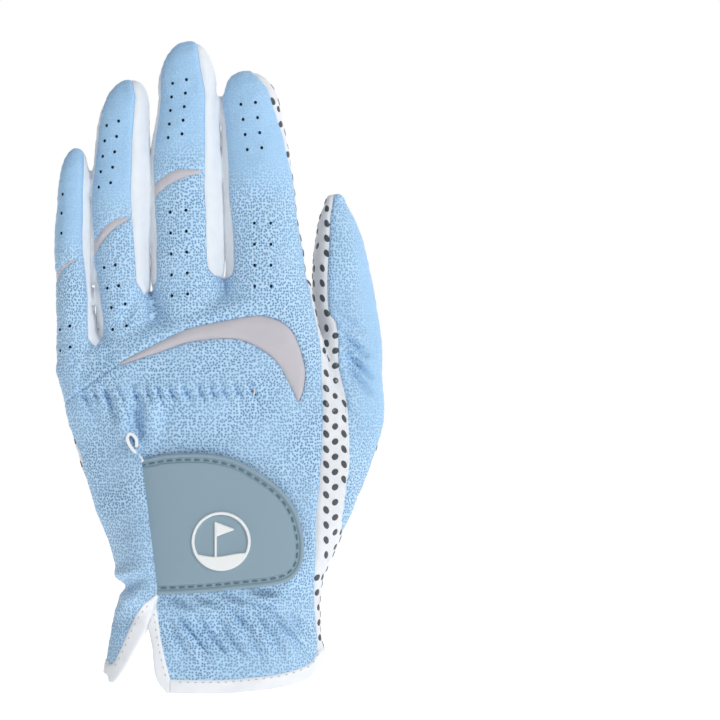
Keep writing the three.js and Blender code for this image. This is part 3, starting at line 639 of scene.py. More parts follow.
# folds on the back as (x, z) to (x, z), half width, height in units of FOLD_HEIGHT
FOLDS = [
    ((-25.4, 95), (-24.4, 83.5), 2.0, -1.9),
    ((-30.8, 97), (-29.0, 84), 2.6, 1.2),
    ((-20.6, 98), (-19.6, 86), 2.8, 0.9),
    ((-35.5, 99), (-31.5, 90), 1.6, -0.9),
    ((-43.0, 97), (-38.0, 88), 2.0, -0.7),
    ((-14.0, 95), (-16.5, 84), 2.0, -0.5),
    ((-12.2, 31.3), (-3.8, 24.8), 1.5, -0.9),
    ((-3.8, 24.8), (2.6, 17.9), 1.5, -0.8),
    ((-3.8, 31.1), (5.7, 26.9), 1.5, -1.0),
    ((5.7, 26.9), (9.4, 22.4), 1.4, -1.0),
    ((5.2, 32.1), (22.6, 25.3), 1.6, -1.1),
    ((14.0, 34.0), (30.0, 30.5), 1.8, -0.6),
    ((-9.0, 28.0), (0.5, 20.5), 1.6, 0.5),
    ((0.0, 29.5), (8.5, 24.6), 1.6, 0.6),
    ((10.0, 31.0), (25.0, 27.5), 2.0, 0.6),
    ((-33.0, 33.0), (-24.0, 37.0), 1.8, -1.4),
    ((-34.0, 37.0), (-22.0, 40.5), 2.2, 0.8),
    ((-31.0, 25.0), (-24.0, 33.0), 2.0, 0.6),
    ((-24.5, 131), (-29.5, 122), 1.8, -0.7),
    ((-20.5, 129), (-14.5, 118), 2.6, -0.5),
    ((-38.0, 112), (-33.5, 108), 1.8, -0.5),
    ((43.5, 112), (52.0, 104), 1.3, -2.2),
    ((42.5, 117.5), (50.5, 111), 1.3, -1.9),
    ((44.0, 107), (51.5, 99), 1.3, -1.6),
    ((41.0, 124), (48.5, 119), 1.4, -1.2),
]
FOLD_HEIGHT = 1.8
GATHERS_Z, GATHERS_PITCH = 97.8, 4.3


def bell(away, width):
    return np.exp(-((away / width) ** 2))


def folds(p):
    """Height of the folds and gathers over the smooth glove."""
    x, y, z = p.T
    total = np.zeros(len(p))
    for start, end, width, height in FOLDS:
        away, along = to_line(p, [start, end])
        taper = 0.55 + 0.45 * np.sin(np.pi * along / math.dist(start, end))
        total += FOLD_HEIGHT * height * taper * bell(away, width)
    total *= ramp(-y, -12, 2)
    # the row of gathers under the knuckle insert
    from_row = z - GATHERS_Z - 0.03 * (x + 10)
    reach = ramp(x, -52, -36) * (1 - ramp(x, 13, 18)) * ramp(-y, 0, 5)
    arches = np.abs(np.sin(np.pi * (x + 0.45 * from_row) / GATHERS_PITCH + 0.4 * np.sin(x / 3.1))) ** 0.7
    total += reach * bell(from_row, 3.4) * (1.2 * (2 * arches - 1) - 0.4)
    total -= reach * 0.6 * bell(from_row, 0.8)
    # the ruffles at the back of the wrist
    wrist = ramp(z, 9, 15) * (1 - ramp(z, 22, 29)) * ramp(x, -17, -11) * (1 - ramp(x, 27, 33))
    ruffle = np.sin(2 * np.pi * (x + 0.7 * (z - 20)) / 6.3 + 0.9 * np.sin(z / 2.7 + x / 5))
    total += wrist * ramp(-y, 0, 5) * 1.15 * ruffle
    # the gathers at the palm side of the wrist, and at the root of the thumb
    palm = ramp(y, 3, 8)
    band = bell(z - 24, 4.2) * (1 - ramp(np.abs(x), 24, 30))
    total += palm * band * 0.65 * np.sin(2 * np.pi * x / 4.6 + 0.8 * np.sin(z / 2))
    crotch = bell(z - 113, 4) * bell(x - 24, 6) * palm
    total += crotch * 0.5 * np.sin(2 * np.pi * x / 2.9)
    return total


def relaxed(p):
    """Height of the worn skin over the smooth one."""
    return folds(p) + 0.3 * waves(p, 17, 3) + 0.08 * waves(p, 5.5, 4)


TAB_LEFT = [(-23.2, 76.0), (-18.1, 34.0)]
TAB_THICK = 1.2
TAB_FACE = -14.9 - TAB_THICK
RIM_WIDE, GROOVE_TO, RELIEF = 1.5, 2.9, 0.55


def sag(x):
    """How far the tab's face curves back to both sides of its middle."""
    past = np.maximum(0, np.abs(x - 4) - 8)
    return 0.0052 * past**2


def flap_rise(p):
    """The pinky-side flap rises over the tab's sewn edge."""
    x, y, z = p.T
    away, _ = to_line(p, TAB_LEFT)
    held = ramp(z, 22, 31) * (1 - ramp(z, 74, 87)) * ramp(-y, 0, 6)
    over_tab = TAB_FACE + sag(x) - RELIEF - WALL - 0.4
    return np.maximum(y - over_tab, 0) * held * (1 - ramp(away, 2.5, 16))


SEAM_DEPTH, SEAM_WIDTH = 0.5, 1.1
SWELL_HEIGHT, SWELL_AT, SWELL_WIDTH = 0.16, 1.9, 1.1  # the swelling beside a seam


def seam_shape(p, seams):
    """The skin dips along its seams, and swells and puckers a little beside them."""
    dip = np.zeros(len(p))
    swell = np.zeros(len(p))
    for field, weight in seams:
        away = np.abs(field(p))
        share = weight(p) if callable(weight) else weight
        dip = np.maximum(dip, share * np.clip(1 - away / SEAM_WIDTH, 0, 1) ** 1.6)
        swell = np.maximum(swell, share * bell(away - SWELL_AT, SWELL_WIDTH))
    ripple = 0.6 + 0.4 * np.sin(2 * np.pi * (p[:, 2] + 0.6 * p[:, 0]) / 2.9)
    return -SEAM_DEPTH * dip + SWELL_HEIGHT * swell * ripple


def unrolled(p):
    """Places on the skin laid out flat: round the side of the hand or a digit, then up in z."""
    x, y, z = p.T
    centre = np.full(len(p), 2.0)
    for name, (low, high) in REACH.items():
        on_finger = (x > low) & (x <= high) & (z > SPLIT[name] - 20)
        centre = np.where(on_finger, x_of(name, z), centre)
    crown = np.interp(z, [95, 118, 200], [12.5, 8.6, 7.0])
    rows = np.array(DIGITS["thumb"][0], float)
    share = ramp(z, 70, 100) * (x > 36)
    centre = centre * (1 - share) + x_of("thumb", z) * share
    crown = crown * (1 - share) + np.interp(z, rows[:, 0], rows[:, 3] - rows[:, 4]) * share
    way = np.clip((x - centre) / 5, -1, 1)
    return np.stack([x + way * np.maximum(y + crown, 0), z, 0 * z], 1)


def pitting(p):
    """How strongly the leather is pitted: less on the thumb, hardly on the fingertips."""
    x, _, z = p.T
    smooth = np.zeros(len(p))
    for name, (low, high) in REACH.items():
        joint = DIGITS[name][2]
        smooth = np.where((x > low) & (x <= high), ramp(z, joint - 6, joint + 12), smooth)
    smooth *= ramp(z, 110, 125)
    on_thumb = ramp(x, 38, 42) * ramp(z, 70, 100)
    outer = ramp(x - x_of("thumb", z), 3, 8)
    return (1 - 0.85 * smooth) * (1 - on_thumb * (0.3 + 0.5 * outer))


# ---------------------------------------------------------------- materials


def srgb(r, g, b):
    def linear(v):
        v = v / 255
        return v / 12.92 if v <= 0.04045 else ((v + 0.055) / 1.055) ** 2.4

    return (linear(r), linear(g), linear(b), 1)


MAP_LIMITS = ("From Min", "From Max", "To Min", "To Max")


class Look:
    """A material with small helpers to add nodes.

    Textures follow the place attribute, in mm, and pits follow the unrolled one.
    """

    def __init__(self, name, colour, roughness, sheen=0.0, specular=0.35):
        self.material = bpy.data.materials.new(name)
        self.material.use_nodes = True
        self.tree = self.material.node_tree
        self.shader = self.tree.nodes["Principled BSDF"]
        self.shader.inputs["Base Color"].default_value = colour
        self.shader.inputs["Roughness"].default_value = roughness
        self.shader.inputs["Specular IOR Level"].default_value = specular
        self.shader.inputs["Sheen Weight"].default_value = sheen
        self.colour = colour
        self.place = self.node("ShaderNodeAttribute", attribute_name="place")
        self.flat = self.node("ShaderNodeAttribute", attribute_name="unrolled")
        self.pitted = self.node("ShaderNodeAttribute", attribute_name="pitted")
        self.normal = None

    def node(self, kind, **settings):
        made = self.tree.nodes.new(kind)
        for key, value in settings.items():
            setattr(made, key, value)
        return made

    def link(self, a, b):
        self.tree.links.new(a, b)

    def noise(self, scale, detail=3.0):
        made = self.node("ShaderNodeTexNoise")
        made.inputs["Scale"].default_value = scale
        made.inputs["Detail"].default_value = detail
        self.link(self.place.outputs["Vector"], made.inputs["Vector"])
        return made.outputs["Fac"]

    def voronoi(self, scale, randomness, dimensions="3D"):
        made = self.node("ShaderNodeTexVoronoi", voronoi_dimensions=dimensions)
        made.inputs["Scale"].default_value = scale
        made.inputs["Randomness"].default_value = randomness
        source = self.place if dimensions == "3D" else self.flat
        self.link(source.outputs["Vector"], made.inputs["Vector"])
        return made.outputs["Distance"]

    def pits(self, pitch, randomness):
        """Distance to scattered centres that all lie on the skin, in pitches."""
        return self.voronoi(1 / pitch, randomness, "2D")

    def wave(self, scale, direction, distortion=0.0):
        made = self.node("ShaderNodeTexWave", bands_direction=direction)
        made.inputs["Scale"].default_value = scale
        made.inputs["Distortion"].default_value = distortion
        self.link(self.place.outputs["Vector"], made.inputs["Vector"])
        return made.outputs["Fac"]

    def steps(self, value, low, high, at_low, at_high):
        made = self.node("ShaderNodeMapRange")
        for key, number in zip(MAP_LIMITS, (low, high, at_low, at_high)):
            made.inputs[key].default_value = number
        self.link(value, made.inputs["Value"])
        return made.outputs["Result"]

    def times(self, a, b):
        made = self.node("ShaderNodeMath", operation="MULTIPLY")
        self.link(a, made.inputs[0])
        self.link(b, made.inputs[1])
        return made.outputs[0]

    def tint(self, share, colour):
        """Mixes a colour over what is there, by a share from 0 to 1."""
        made = self.node("ShaderNodeMix", data_type="RGBA")
        self.link(share, made.inputs[0])
        socket = self.shader.inputs["Base Color"]
        if socket.is_linked:
            self.link(socket.links[0].from_socket, made.inputs[6])
        else:
            made.inputs[6].default_value = self.colour
        made.inputs[7].default_value = colour
        self.link(made.outputs[2], socket)

    def bump(self, height, strength, distance):
        made = self.node("ShaderNodeBump")
        made.inputs["Strength"].default_value = strength
        made.inputs["Distance"].default_value = distance
        self.link(height, made.inputs["Height"])
        if self.normal is not None:
            self.link(self.normal, made.inputs["Normal"])
        self.normal = made.outputs["Normal"]
        self.link(self.normal, self.shader.inputs["Normal"])


PIT_PITCH, GRAIN_PITCH = 0.98, 0.62  # mm


def make_leather():
    look = Look("blue_leather", srgb(174, 210, 240), 0.5, sheen=0.05)
    patches = look.noise(0.1, 2.0)
    look.tint(look.steps(patches, 0.35, 0.7, 0.0, 0.5), srgb(160, 202, 238))
    look.tint(look.steps(look.pitted.outputs["Fac"], 0.15, 0.95, 0.7, 0.0), srgb(156, 198, 234))
    uneven = look.steps(look.noise(0.07, 1.5), 0.35, 0.62, 1.0, 0.65)
    share = look.times(uneven, look.pitted.outputs["Fac"])
    pits = look.pits(PIT_PITCH, 0.72)
    # painted highlight: the raised leather between the pits is tinted lighter
    look.tint(look.times(look.steps(pits, 0.4, 0.62, 0.0, 0.6), share), srgb(200, 228, 250))
    # painted shade: the middles of the pits, which the bump below sinks, are tinted darker
    look.tint(look.times(look.steps(pits, 0.16, 0.4, 0.9, 0.0), share), srgb(80, 120, 164))
    look.bump(look.times(look.steps(pits, 0.1, 0.45, 0.0, 1.0), share), 0.6, 0.00028)
    grain = look.pits(GRAIN_PITCH, 1.0)
    look.tint(look.steps(grain, 0.1, 0.34, 0.22, 0.0), srgb(96, 138, 184))
    look.bump(grain, 0.3, 0.0002)
    look.bump(look.noise(0.9, 4.0), 0.3, 0.0005)
    return look.material


def make_dotted():
    look = Look("dotted_fabric", srgb(227, 230, 235), 0.78, sheen=0.1, specular=0.2)
    look.bump(look.voronoi(3.0, 0.4), 0.35, 0.00012)
    look.bump(look.wave(4.2, "Z", 0.6), 0.25, 0.00010)
    look.tint(look.steps(look.noise(0.35, 3.0), 0.4, 0.7, 0.0, 0.25), srgb(208, 213, 222))
    return look.material


def make_strip():
    look = Look("white_fabric", srgb(228, 234, 241), 0.8, sheen=0.15, specular=0.2)
    look.bump(look.wave(3.6, "Z", 1.5), 0.25, 0.00012)
    look.bump(look.noise(1.3, 3.0), 0.25, 0.00025)
    look.tint(look.steps(look.noise(0.25, 3.0), 0.45, 0.75, 0.0, 0.25), srgb(214, 217, 220))
    return look.material


def make_stretch():
    look = Look("stretch_fabric", srgb(216, 213, 221), 0.85, sheen=0.2, specular=0.15)
    look.bump(look.wave(4.6, "X", 0.4), 0.5, 0.00015)
    look.bump(look.wave(3.9, "Z", 0.6), 0.3, 0.00012)
    # painted shade: the troughs of the ribs, the same wave as the bump above, are tinted darker
    look.tint(look.steps(look.wave(4.6, "X", 0.4), 0.1, 0.9, 0.25, 0.0), srgb(196, 186, 192))
    return look.material


def make_tape():
    look = Look("white_tape", srgb(238, 241, 245), 0.68, sheen=0.1, specular=0.25)
    look.bump(look.wave(3.4, "X", 1.0), 0.2, 0.00012)
    look.bump(look.noise(1.6, 4.0), 0.35, 0.00025)
    return look.material


def make_plain(name, colour, roughness, bump=0.2, specular=0.35):
    look = Look(name, colour, roughness, specular=specular)
    look.bump(look.noise(2.4, 4.0), bump, 0.00015)
    return look.material


LOOKS = {
    "blue_leather": make_leather(),
    "dotted_fabric": make_dotted(),
    "white_fabric": make_strip(),
    "stretch_fabric": make_stretch(),
    "white_tape": make_tape(),
    "teal_rubber": make_plain("teal_rubber", srgb(136, 159, 173), 0.42, 0.12),
    "thread": make_plain("thread", srgb(88, 122, 136), 0.8, 0.5),
    "white_rubber": make_plain("white_rubber", srgb(232, 235, 236), 0.45, 0.08),
    "hook_tape": make_plain("hook_tape", srgb(159, 182, 194), 0.9, 0.9, 0.1),
    "elastic": make_plain("elastic", srgb(228, 226, 222), 0.85, 0.6, 0.15),
}
grip = Look("grip_dots", srgb(66, 73, 78), 0.34, specular=0.5)
grip.bump(grip.noise(1.7, 3.0), 0.25, 0.0002)
GRIP = grip.material
glowing_lining = Look("glowing_lining", srgb(253, 253, 253), 0.9, specular=0.05)
# painted light: the lining glows a little, so that the shaded inside of the glove looks bright
glowing_lining.shader.inputs["Emission Color"].default_value = (1, 1, 1, 1)
glowing_lining.shader.inputs["Emission Strength"].default_value = 0.4
glowing_lining.bump(glowing_lining.noise(2.4, 4.0), 0.1, 0.00015)
LINING_GLOW = glowing_lining.material
# painted shade: the vent holes are dark discs laid on the leather
VENT_SHADE = make_plain("vent_hole_shade", srgb(26, 36, 50), 0.9, 0.1, 0.1)
STITCH_WHITE = make_plain("white_thread", srgb(232, 230, 224), 0.75, 0.6)
STITCH_GREY = make_plain("grey_thread", srgb(176, 180, 184), 0.75, 0.6)

# ---------------------------------------------------------------- pieces


def bend_points(move):
    """The start and end of the bend for a piece, in metres, or None if it rides on one body."""
    if move == "knuckles":
        low, high = KNUCKLE_BEND
        start, end = KNUCKLE_UP * (KNUCKLE_LINE + low), KNUCKLE_UP * (KNUCKLE_LINE + high)
        return "hand", "fingers", start * MM, end * MM
    if move == "tab_hinge":
        start, end = (np.array([x, 0, z]) for x, z in TAB_LEFT)
        across = unit(np.cross(end - start, [0, 1, 0])) * TAB_BEND
        return "hand", "tab", (start - across) * MM, (start + across) * MM
    if move in DIGITS:
        rows, _, joint = DIGITS[move]
        y = np.interp(joint, [r[0] for r in rows], [r[4] for r in rows])
        way = unit(np.array([x_of(move, joint + 6) - x_of(move, joint), 0, 6.0])) * TIP_BEND
        middle = np.array([x_of(move, joint), y, joint])
        parent = "hand" if move == "thumb" else "fingers"
        return parent, move + "_tip", (middle - way) * MM, (middle + way) * MM
    return None


def new_piece(
    name, points, faces, look, slot, move, nodes=(), under=None, under_from=None, flat=False, places=None
):
    """A Blender object in metres, shaded smooth with crisp rims, attached to its body when it rides on
    one.

    Textures follow places, which are the points themselves unless others are given.
    """
    places = np.asarray(points if places is None else places, float)
    mesh = bpy.data.meshes.new(name)
    mesh.from_pydata((np.asarray(points) * MM).tolist(), [], [tuple(f) for f in faces])
    mesh.update()
    place = mesh.attributes.new("place", "FLOAT_VECTOR", "POINT")
    place.data.foreach_set("vector", places.astype(np.float32).ravel())
    if look is LOOKS["blue_leather"]:
        flat_place = mesh.attributes.new("unrolled", "FLOAT_VECTOR", "POINT")
        flat_place.data.foreach_set("vector", unrolled(places).astype(np.float32).ravel())
        pitted = mesh.attributes.new("pitted", "FLOAT", "POINT")
        pitted.data.foreach_set("value", pitting(places).astype(np.float32))
    mesh.materials.append(look)
    if under is not None:
        mesh.materials.append(under)
        index = np.zeros(len(mesh.polygons), np.int32)
        index[under_from:] = 1
        mesh.polygons.foreach_set("material_index", index)
    mesh.shade_smooth()
    if not flat:
        mesh.set_sharp_from_angle(angle=math.radians(55))
    piece = in_scene(name, mesh)
    bend = bend_points(move)
    if bend:
        tuple(bend[2])
        tuple(bend[3])
        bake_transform(piece)
    else:
        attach(piece, move)
    if nodes:
        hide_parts(*nodes)
    return piece


def thick(points, normals, tri, wall):
    """Outer faces, border walls and inner faces of a layer, in this order."""
    count = len(points)
    inner = points - normals * wall
    edges = border_edges(tri, count)
    a, b = edges[:, 0], edges[:, 1]
    walls = np.concatenate(
        [np.stack([b, a, a + count], 1), np.stack([b, a + count, b + count], 1)]
    )
    faces = np.concatenate([tri, walls, tri[:, ::-1] + count])
    return np.concatenate([points, inner]), faces, len(tri) + len(walls)


SURFACES = {}  # name: outer points, normals, triangles, how the piece moves, and its slot


def panel(name, skin, fields, slot, move, nodes=None, extra=None, push=None, flat_wall=None):
    """Cuts a panel out of the skin. Each field is (function, share of a seam dip along it).

    It stands for the node of its own name, unless others are given.
    """
    part = skin
    for field, _ in fields:
        part = cut(part, field)
    seams = [(field, weight) for field, weight in fields if callable(weight) or weight > 0]
    for field, _ in seams:
        for away in (0.35, 0.9):
            part = cut(part, grown(field, -away), keep_both=True)
    points, normals, tri = part
    if not len(tri):
        raise RuntimeError("nothing left of " + name)
    height = relaxed(points)
    if seams:
        height += seam_shape(points, seams)
    if extra is not None:
        height += extra(points)
    moved = points + normals * height[:, None]
    if push is not None:
        moved[:, 1] -= push(points)
    if flat_wall is not None and len(flat_wall[2]):
        tri = np.concatenate([tri, flat_wall[2] + len(points)])
        points = np.concatenate([points, flat_wall[0]])
        moved = np.concatenate([moved, flat_wall[0]])
        normals = np.concatenate([normals, flat_wall[1]])
    SURFACES[name] = (moved, normals, tri, move, slot)
    solid, faces, outer = thick(moved, normals, tri, WALL)
    places = np.concatenate([points, points])
    nodes = (name,) if nodes is None else nodes
    return new_piece(name, solid, faces, LOOKS[slot], slot, move, nodes, LINING_GLOW, outer, places=places)


skin = joined_skin(0.8)
skin = cut(skin, minus(over_hem))
skin = cut(skin, minus(wrist_gap))
leather_skin = cut(skin, minus(grown(under_tape, -0.5)))

sides = {
    name: [lambda p, at=high: p[:, 0] - at, lambda p, at=low: at - p[:, 0]]
    for name, (low, high) in REACH.items()
}


def split_height(p):
    """Height over the line where the finger pieces part from the hand pieces."""
    at = np.full(len(p), SPLIT["index"])
    for name, (_, high) in REACH.items():
        at = np.where(p[:, 0] < high, SPLIT[name], at)
    return p[:, 2] - at


LEATHER, DOTTED, STRETCH = "blue_leather", "dotted_fabric", "stretch_fabric"
lower, upper = (split_height, 0), (minus(split_height), 0)
not_thumb = (minus(thumb_zone), 0)
off_strips = (minus(any_strip), 1)
off_insert = (minus(knuckle_gap), 1)
back_of = [(past_thumb_side, 1), (pinky_edge, 1), off_strips]

# back of the hand, in two flaps at the slit
hand_back = [(over_knuckle_seam, seam_left_of_insert), off_insert, *back_of, not_thumb]
left_flap, right_flap = [*hand_back, (right_of_slit, 0)], [*hand_back, (minus(right_of_slit), 0)]
panel("back_hand_panel", leather_skin, right_flap, LEATHER, "knuckles")
panel("back_hand_pinky_flap", leather_skin, left_flap, LEATHER, "knuckles", (), push=flap_rise)


def insert_swell(p):
    return 0.5 * np.clip(-knuckle_gap(p) / 2.5, 0, 1) - 0.35


panel("knuckle_insert", skin, [(knuckle_gap, 1), not_thumb], STRETCH, "knuckles", extra=insert_swell)
finger_back = [(minus(over_knuckle_seam), seam_left_of_insert), off_insert, *back_of, lower, not_thumb]
panel("back_finger_panel", skin, finger_back, LEATHER, "knuckles")

# flex inserts on three fingers: a crescent whose wide end is on the pinky side
FLEX = {
    "middle": [(-22.5, 160.6), (-16.5, 165.6), (-10.0, 169.0), (-3.2, 171.0)]
    + [(-10.0, 171.9), (-15.8, 170.0), (-22.5, 164.2)],
    "ring": [(-42.0, 141.0), (-37.2, 147.8), (-32.6, 152.4), (-27.0, 156.0)]
    + [(-32.6, 155.2), (-37.6, 151.4), (-42.0, 144.6)],
    "pinky": [(-54.0, 133.4), (-50.6, 138.2), (-47.6, 140.6), (-44.0, 142.6)]
    + [(-47.6, 141.7), (-51.0, 139.2), (-54.0, 134.6)],
}
for finger in FINGERS:
    common = [*[(f, 0) for f in sides[finger]], upper, *back_of, not_thumb]
    if finger in FLEX:
        flex = most(inside(spline(FLEX[finger], 4, closed=True)), back_side)
        panel(finger + "_flex_insert", skin, [*common, (flex, 1)], STRETCH, finger)
        common = [*common, (minus(flex), 1)]
    panel(finger + "_tip_back", skin, common, LEATHER, finger)
    front = [*[(f, 0) for f in sides[finger]], upper, (palm_side, 1), off_strips, not_thumb]
    panel(finger + "_tip_palm", skin, front, DOTTED, finger)

# strips between the fingers, which swell until neighbours nearly touch


def gap_filling(right_name):
    left_name = PINKYWARD[right_name]

    def edge(name, z, side):
        rows = np.array(DIGITS[name][0], float)
        return x_of(name, z) + side * np.interp(z, rows[:, 0], rows[:, 2])

    def lift(p):
        gap = edge(right_name, p[:, 2], -1) - edge(left_name, p[:, 2], 1)
        low_tip = min(DIGITS[n][1][0] for n in (left_name, right_name))
        reach = 1 - ramp(p[:, 2], low_tip - 26, low_tip - 6)
        across = np.clip(1 - (p[:, 1] / strip_half(p)) ** 2, 0, 1) ** 1.5
        return np.clip(gap / 2 - 0.15, 0, 1.5) * reach * across

    return lift


skin_tree = BVHTree.FromPolygons(skin[0].tolist(), skin[2].tolist())


def within_skin(p):
    out = []
    for at in p:
        near, way, _, _ = skin_tree.find_nearest(Vector(at))
        out.append((Vector(at) - near) @ way)
    return np.array(out)


WALL_PITCH, GLOVE_TOP = 0.8, 216


def closing_wall(right_name, side, split):
    """The flat wall of a finger where it touches its neighbour, on one side (-1 or 1) of the gap."""
    left_name = PINKYWARD[right_name]
    low = min(SPLIT[right_name], SPLIT[left_name]) - WALL_PITCH
    ys, zs = np.arange(-9, 9.1, WALL_PITCH), np.arange(low, GLOVE_TOP, WALL_PITCH)
    y, z = (v.ravel() for v in np.meshgrid(ys, zs, indexing="ij"))
    points = np.stack([np.full(len(y), BETWEEN[right_name] + 0.05 * side), y, z], 1)
    normals = np.tile([-float(side), 0, 0], (len(points), 1))
    faces = grid_faces(len(ys), len(zs))
    return cut(cut((points, normals, faces[:, ::-side]), within_skin), split)


for right_name, strip in STRIPS.items():
    left_name = PINKYWARD[right_name]
    node = "fourchette_" + right_name + "_" + left_name
    fill = gap_filling(right_name)
    wall = closing_wall(right_name, 1, split_height)
    fields = [(strip, 0.7), lower, not_thumb]
    panel(node, skin, fields, "white_fabric", "knuckles", extra=fill, flat_wall=wall)
    right_node = right_name + ("_tip_strip" if right_name == "index" else "_tip_strip_pinkyward")
    left_node = left_name + ("_tip_strip" if left_name == "pinky" else "_tip_strip_thumbward")
    for name, piece, side in ((right_name, right_node, 1), (left_name, left_node, -1)):
        own_side = (lambda p, g=BETWEEN[right_name], s=side: s * (g - p[:, 0]), 0)
        wall = closing_wall(right_name, side, minus(split_height))
        fields = [(strip, 0.7), upper, own_side]
        panel(piece, skin, fields, "white_fabric", name, extra=fill, flat_wall=wall)

# palm
palm = [(palm_side, 1), off_strips, (minus(thumb_patch), 1), (minus(heel_patch), 1), not_thumb]
panel("palm_panel", leather_skin, [*palm, (over_knuckles, 0)], DOTTED, "knuckles")
panel("palm_finger_panel", skin, [*palm, (minus(over_knuckles), 0), lower], DOTTED, "knuckles")
panel("heel_patch", skin, [(palm_side, 1), (heel_patch, 1)], DOTTED, "knuckles")
thumb_front = [(palm_side, 1), (thumb_patch, 1), (minus(thumb_blue), 1), not_thumb]
panel("thumb_palm_patch", skin, thumb_front, DOTTED, "knuckles")
thumb_back = [(minus(past_thumb_side), 0), (thumb_blue, 1), (thumb_patch, 1), not_thumb]
panel("thumb_back_panel", skin, thumb_back, LEATHER, "knuckles")
panel("thumb_tip_back", skin, [(thumb_zone, 0), (thumb_blue, 1)], LEATHER, "thumb")
panel("thumb_tip_palm", skin, [(thumb_zone, 0), (minus(thumb_blue), 1)], DOTTED, "thumb")

# ---------------------------------------------------------------- tapes and elastics


def rounded(field, height, width=1.1):
    """A layer's height with rounded edges."""

    def shape(p):
        inward = np.clip(-field(p) / width, 0, 1)
        return height * np.sqrt(np.maximum(0, 1 - (1 - inward) ** 2)) - 0.1

    return shape


def tape(name, field, rim, node, push=None):
    """A tape where the field is under zero, rounded along the rim's zero line."""
    part = cut(skin, field)
    for away in (0.12, 0.4, 0.8):
        part = cut(part, grown(rim, -away), keep_both=True)
    points, normals, tri = part
    height = rounded(rim, 0.62)(points)
    height += relaxed(points) + 0.05 * waves(points, 3.1, 9)
    points_out = points + normals * height[:, None]
    if push is not None:
        points_out[:, 1] -= push(points)
    SURFACES[name] = (points_out, normals, tri, "hand", "white_tape")
    solid, faces, outer = thick(points_out, normals, tri, WALL + 1.1)
    places = np.concatenate([points, points])
    nodes = (node,) if node else ()
    new_piece(name, solid, faces, LOOKS["white_tape"], "white_tape", "hand", nodes, places=places)


tape("hem_binding", most(hem_tape, minus(left_tape), minus(right_tape)), hem_tape, "hem_binding")
tape("slit_binding", right_tape, right_tape_rim, "slit_binding")
tape("slit_binding_pinky_side", left_tape, left_tape_rim, None, flap_rise)

# the loop of tape at the top of the slit
LOOP = [(-22.6, 75.6), (-25.0, 78.3), (-26.9, 80.6), (-27.9, 83.0), (-27.3, 84.6), (-26.0, 84.3)]
LOOP += [(-24.9, 82.6), (-24.9, 80.3)]


def ribbon(line, low, high, half):
    """A band that stands on edge along a line of (x, z) points, from y low to y high."""
    line = spline(line, 5)
    way = unit(np.gradient(line, axis=0))
    aside = np.stack([-way[:, 1], way[:, 0]], 1)
    rings = []
    for at, out in zip(line, aside):
        ring = []
        for a in 2 * np.pi * np.arange(12) / 12:
            side, deep = np.cos(a), np.sin(a)
            x, z = at + out * half * np.sign(side) * abs(side) ** 0.5
            ring.append((x, (low + high) / 2 - (low - high) / 2 * np.sign(deep) * abs(deep) ** 0.4, z))
        rings.append(np.array(ring))
    return tube(rings)


loop_points, loop_faces = ribbon(LOOP, -11.5, -15.0, 0.55)
new_piece("slit_tape_loop", loop_points, loop_faces, LOOKS["white_tape"], "white_tape", "hand")

BANDS = {
    "knuckle_elastic": ((-36, 20), (94, 99), -1),
    "wrist_back_elastic": ((-12, 31), (17, 24), -1),
    "wrist_palm_elastic": ((-26, 26), (21, 27), 1),
}
for name, ((x0, x1), (z0, z1), side) in BANDS.items():
    part = skin
    for field in (
        lambda p: x0 - p[:, 0],
        lambda p: p[:, 0] - x1,
        lambda p: z0 - p[:, 2],
        lambda p: p[:, 2] - z1,
        lambda p: 3 - side * p[:, 1],
    ):
        part = cut(part, field)
    points, normals, tri = part
    height = folds(points) - WALL - 0.35
    solid, faces, _ = thick(points + normals * height[:, None], normals, tri, 0.8)
    new_piece(name, solid, faces, LOOKS["elastic"], "elastic", "knuckles", [name])

# ---------------------------------------------------------------- the closing tab

TAB_CURVE = [(-23, 76.8), (-15.5, 78), (-3.3, 78.3), (6.6, 76.6), (14.5, 72.6), (22.6, 66.5), (27.4, 60)]
TAB_CURVE += [(29.7, 52.5), (30.2, 46.5), (29.2, 41), (26, 37), (20, 35), (8.6, 33.7), (-3.3, 32.6)]
TAB_CURVE += [(-18.6, 31.8)]
TAB_SEWN = 2.2  # the tab runs on this far under the flap
TAB_CORNERS = [(x - TAB_SEWN, z) for x, z in (TAB_CURVE[0], TAB_CURVE[-1])]
tab_rim = inside(
    spline([(-60, 74.5), (-23 - TAB_SEWN, 76.4), *TAB_CURVE[1:-1], (-18.6 - TAB_SEWN, 31.7), (-60, 30)])
)
tab_outline = most(tab_rim, minus(right_of(TAB_CORNERS)))


def tab_sheet(x0, x1, z0, z1, pitch):
    """A fine sheet along the tab's face, as a skin."""
    xs, zs = np.arange(x0, x1, pitch), np.arange(z0, z1, pitch)
    x, z = np.meshgrid(xs, zs, indexing="ij")
    x, z = x.ravel(), z.ravel()
    points = np.stack([x, TAB_FACE + sag(x), z], 1)
    slope = (sag(x + 0.01) - sag(x - 0.01)) / 0.02
    normals = unit(np.stack([slope, -np.ones(len(x)), np.zeros(len(x))], 1))
    return points, normals, grid_faces(len(xs), len(zs))


def tab_height(p):
    """The rim and the field stand over the stitched groove; the outer edge is rounded."""
    d = -tab_rim(p)
    rim = RELIEF * np.sqrt(np.clip(1 - ((d - RIM_WIDE / 2) / (RIM_WIDE / 2)) ** 2, 0, 1))
    field = RELIEF * np.sqrt(np.clip(1 - (1 - np.clip((d - GROOVE_TO) / 0.5, 0, 1)) ** 2, 0, 1))
    edge = -0.5 * np.clip(1 - d / 0.35, 0, 1) ** 2
    return np.where(d < RIM_WIDE, rim, 0) + np.where(d > GROOVE_TO, field, 0) + edge


RELIEF_EDGE = 0.3


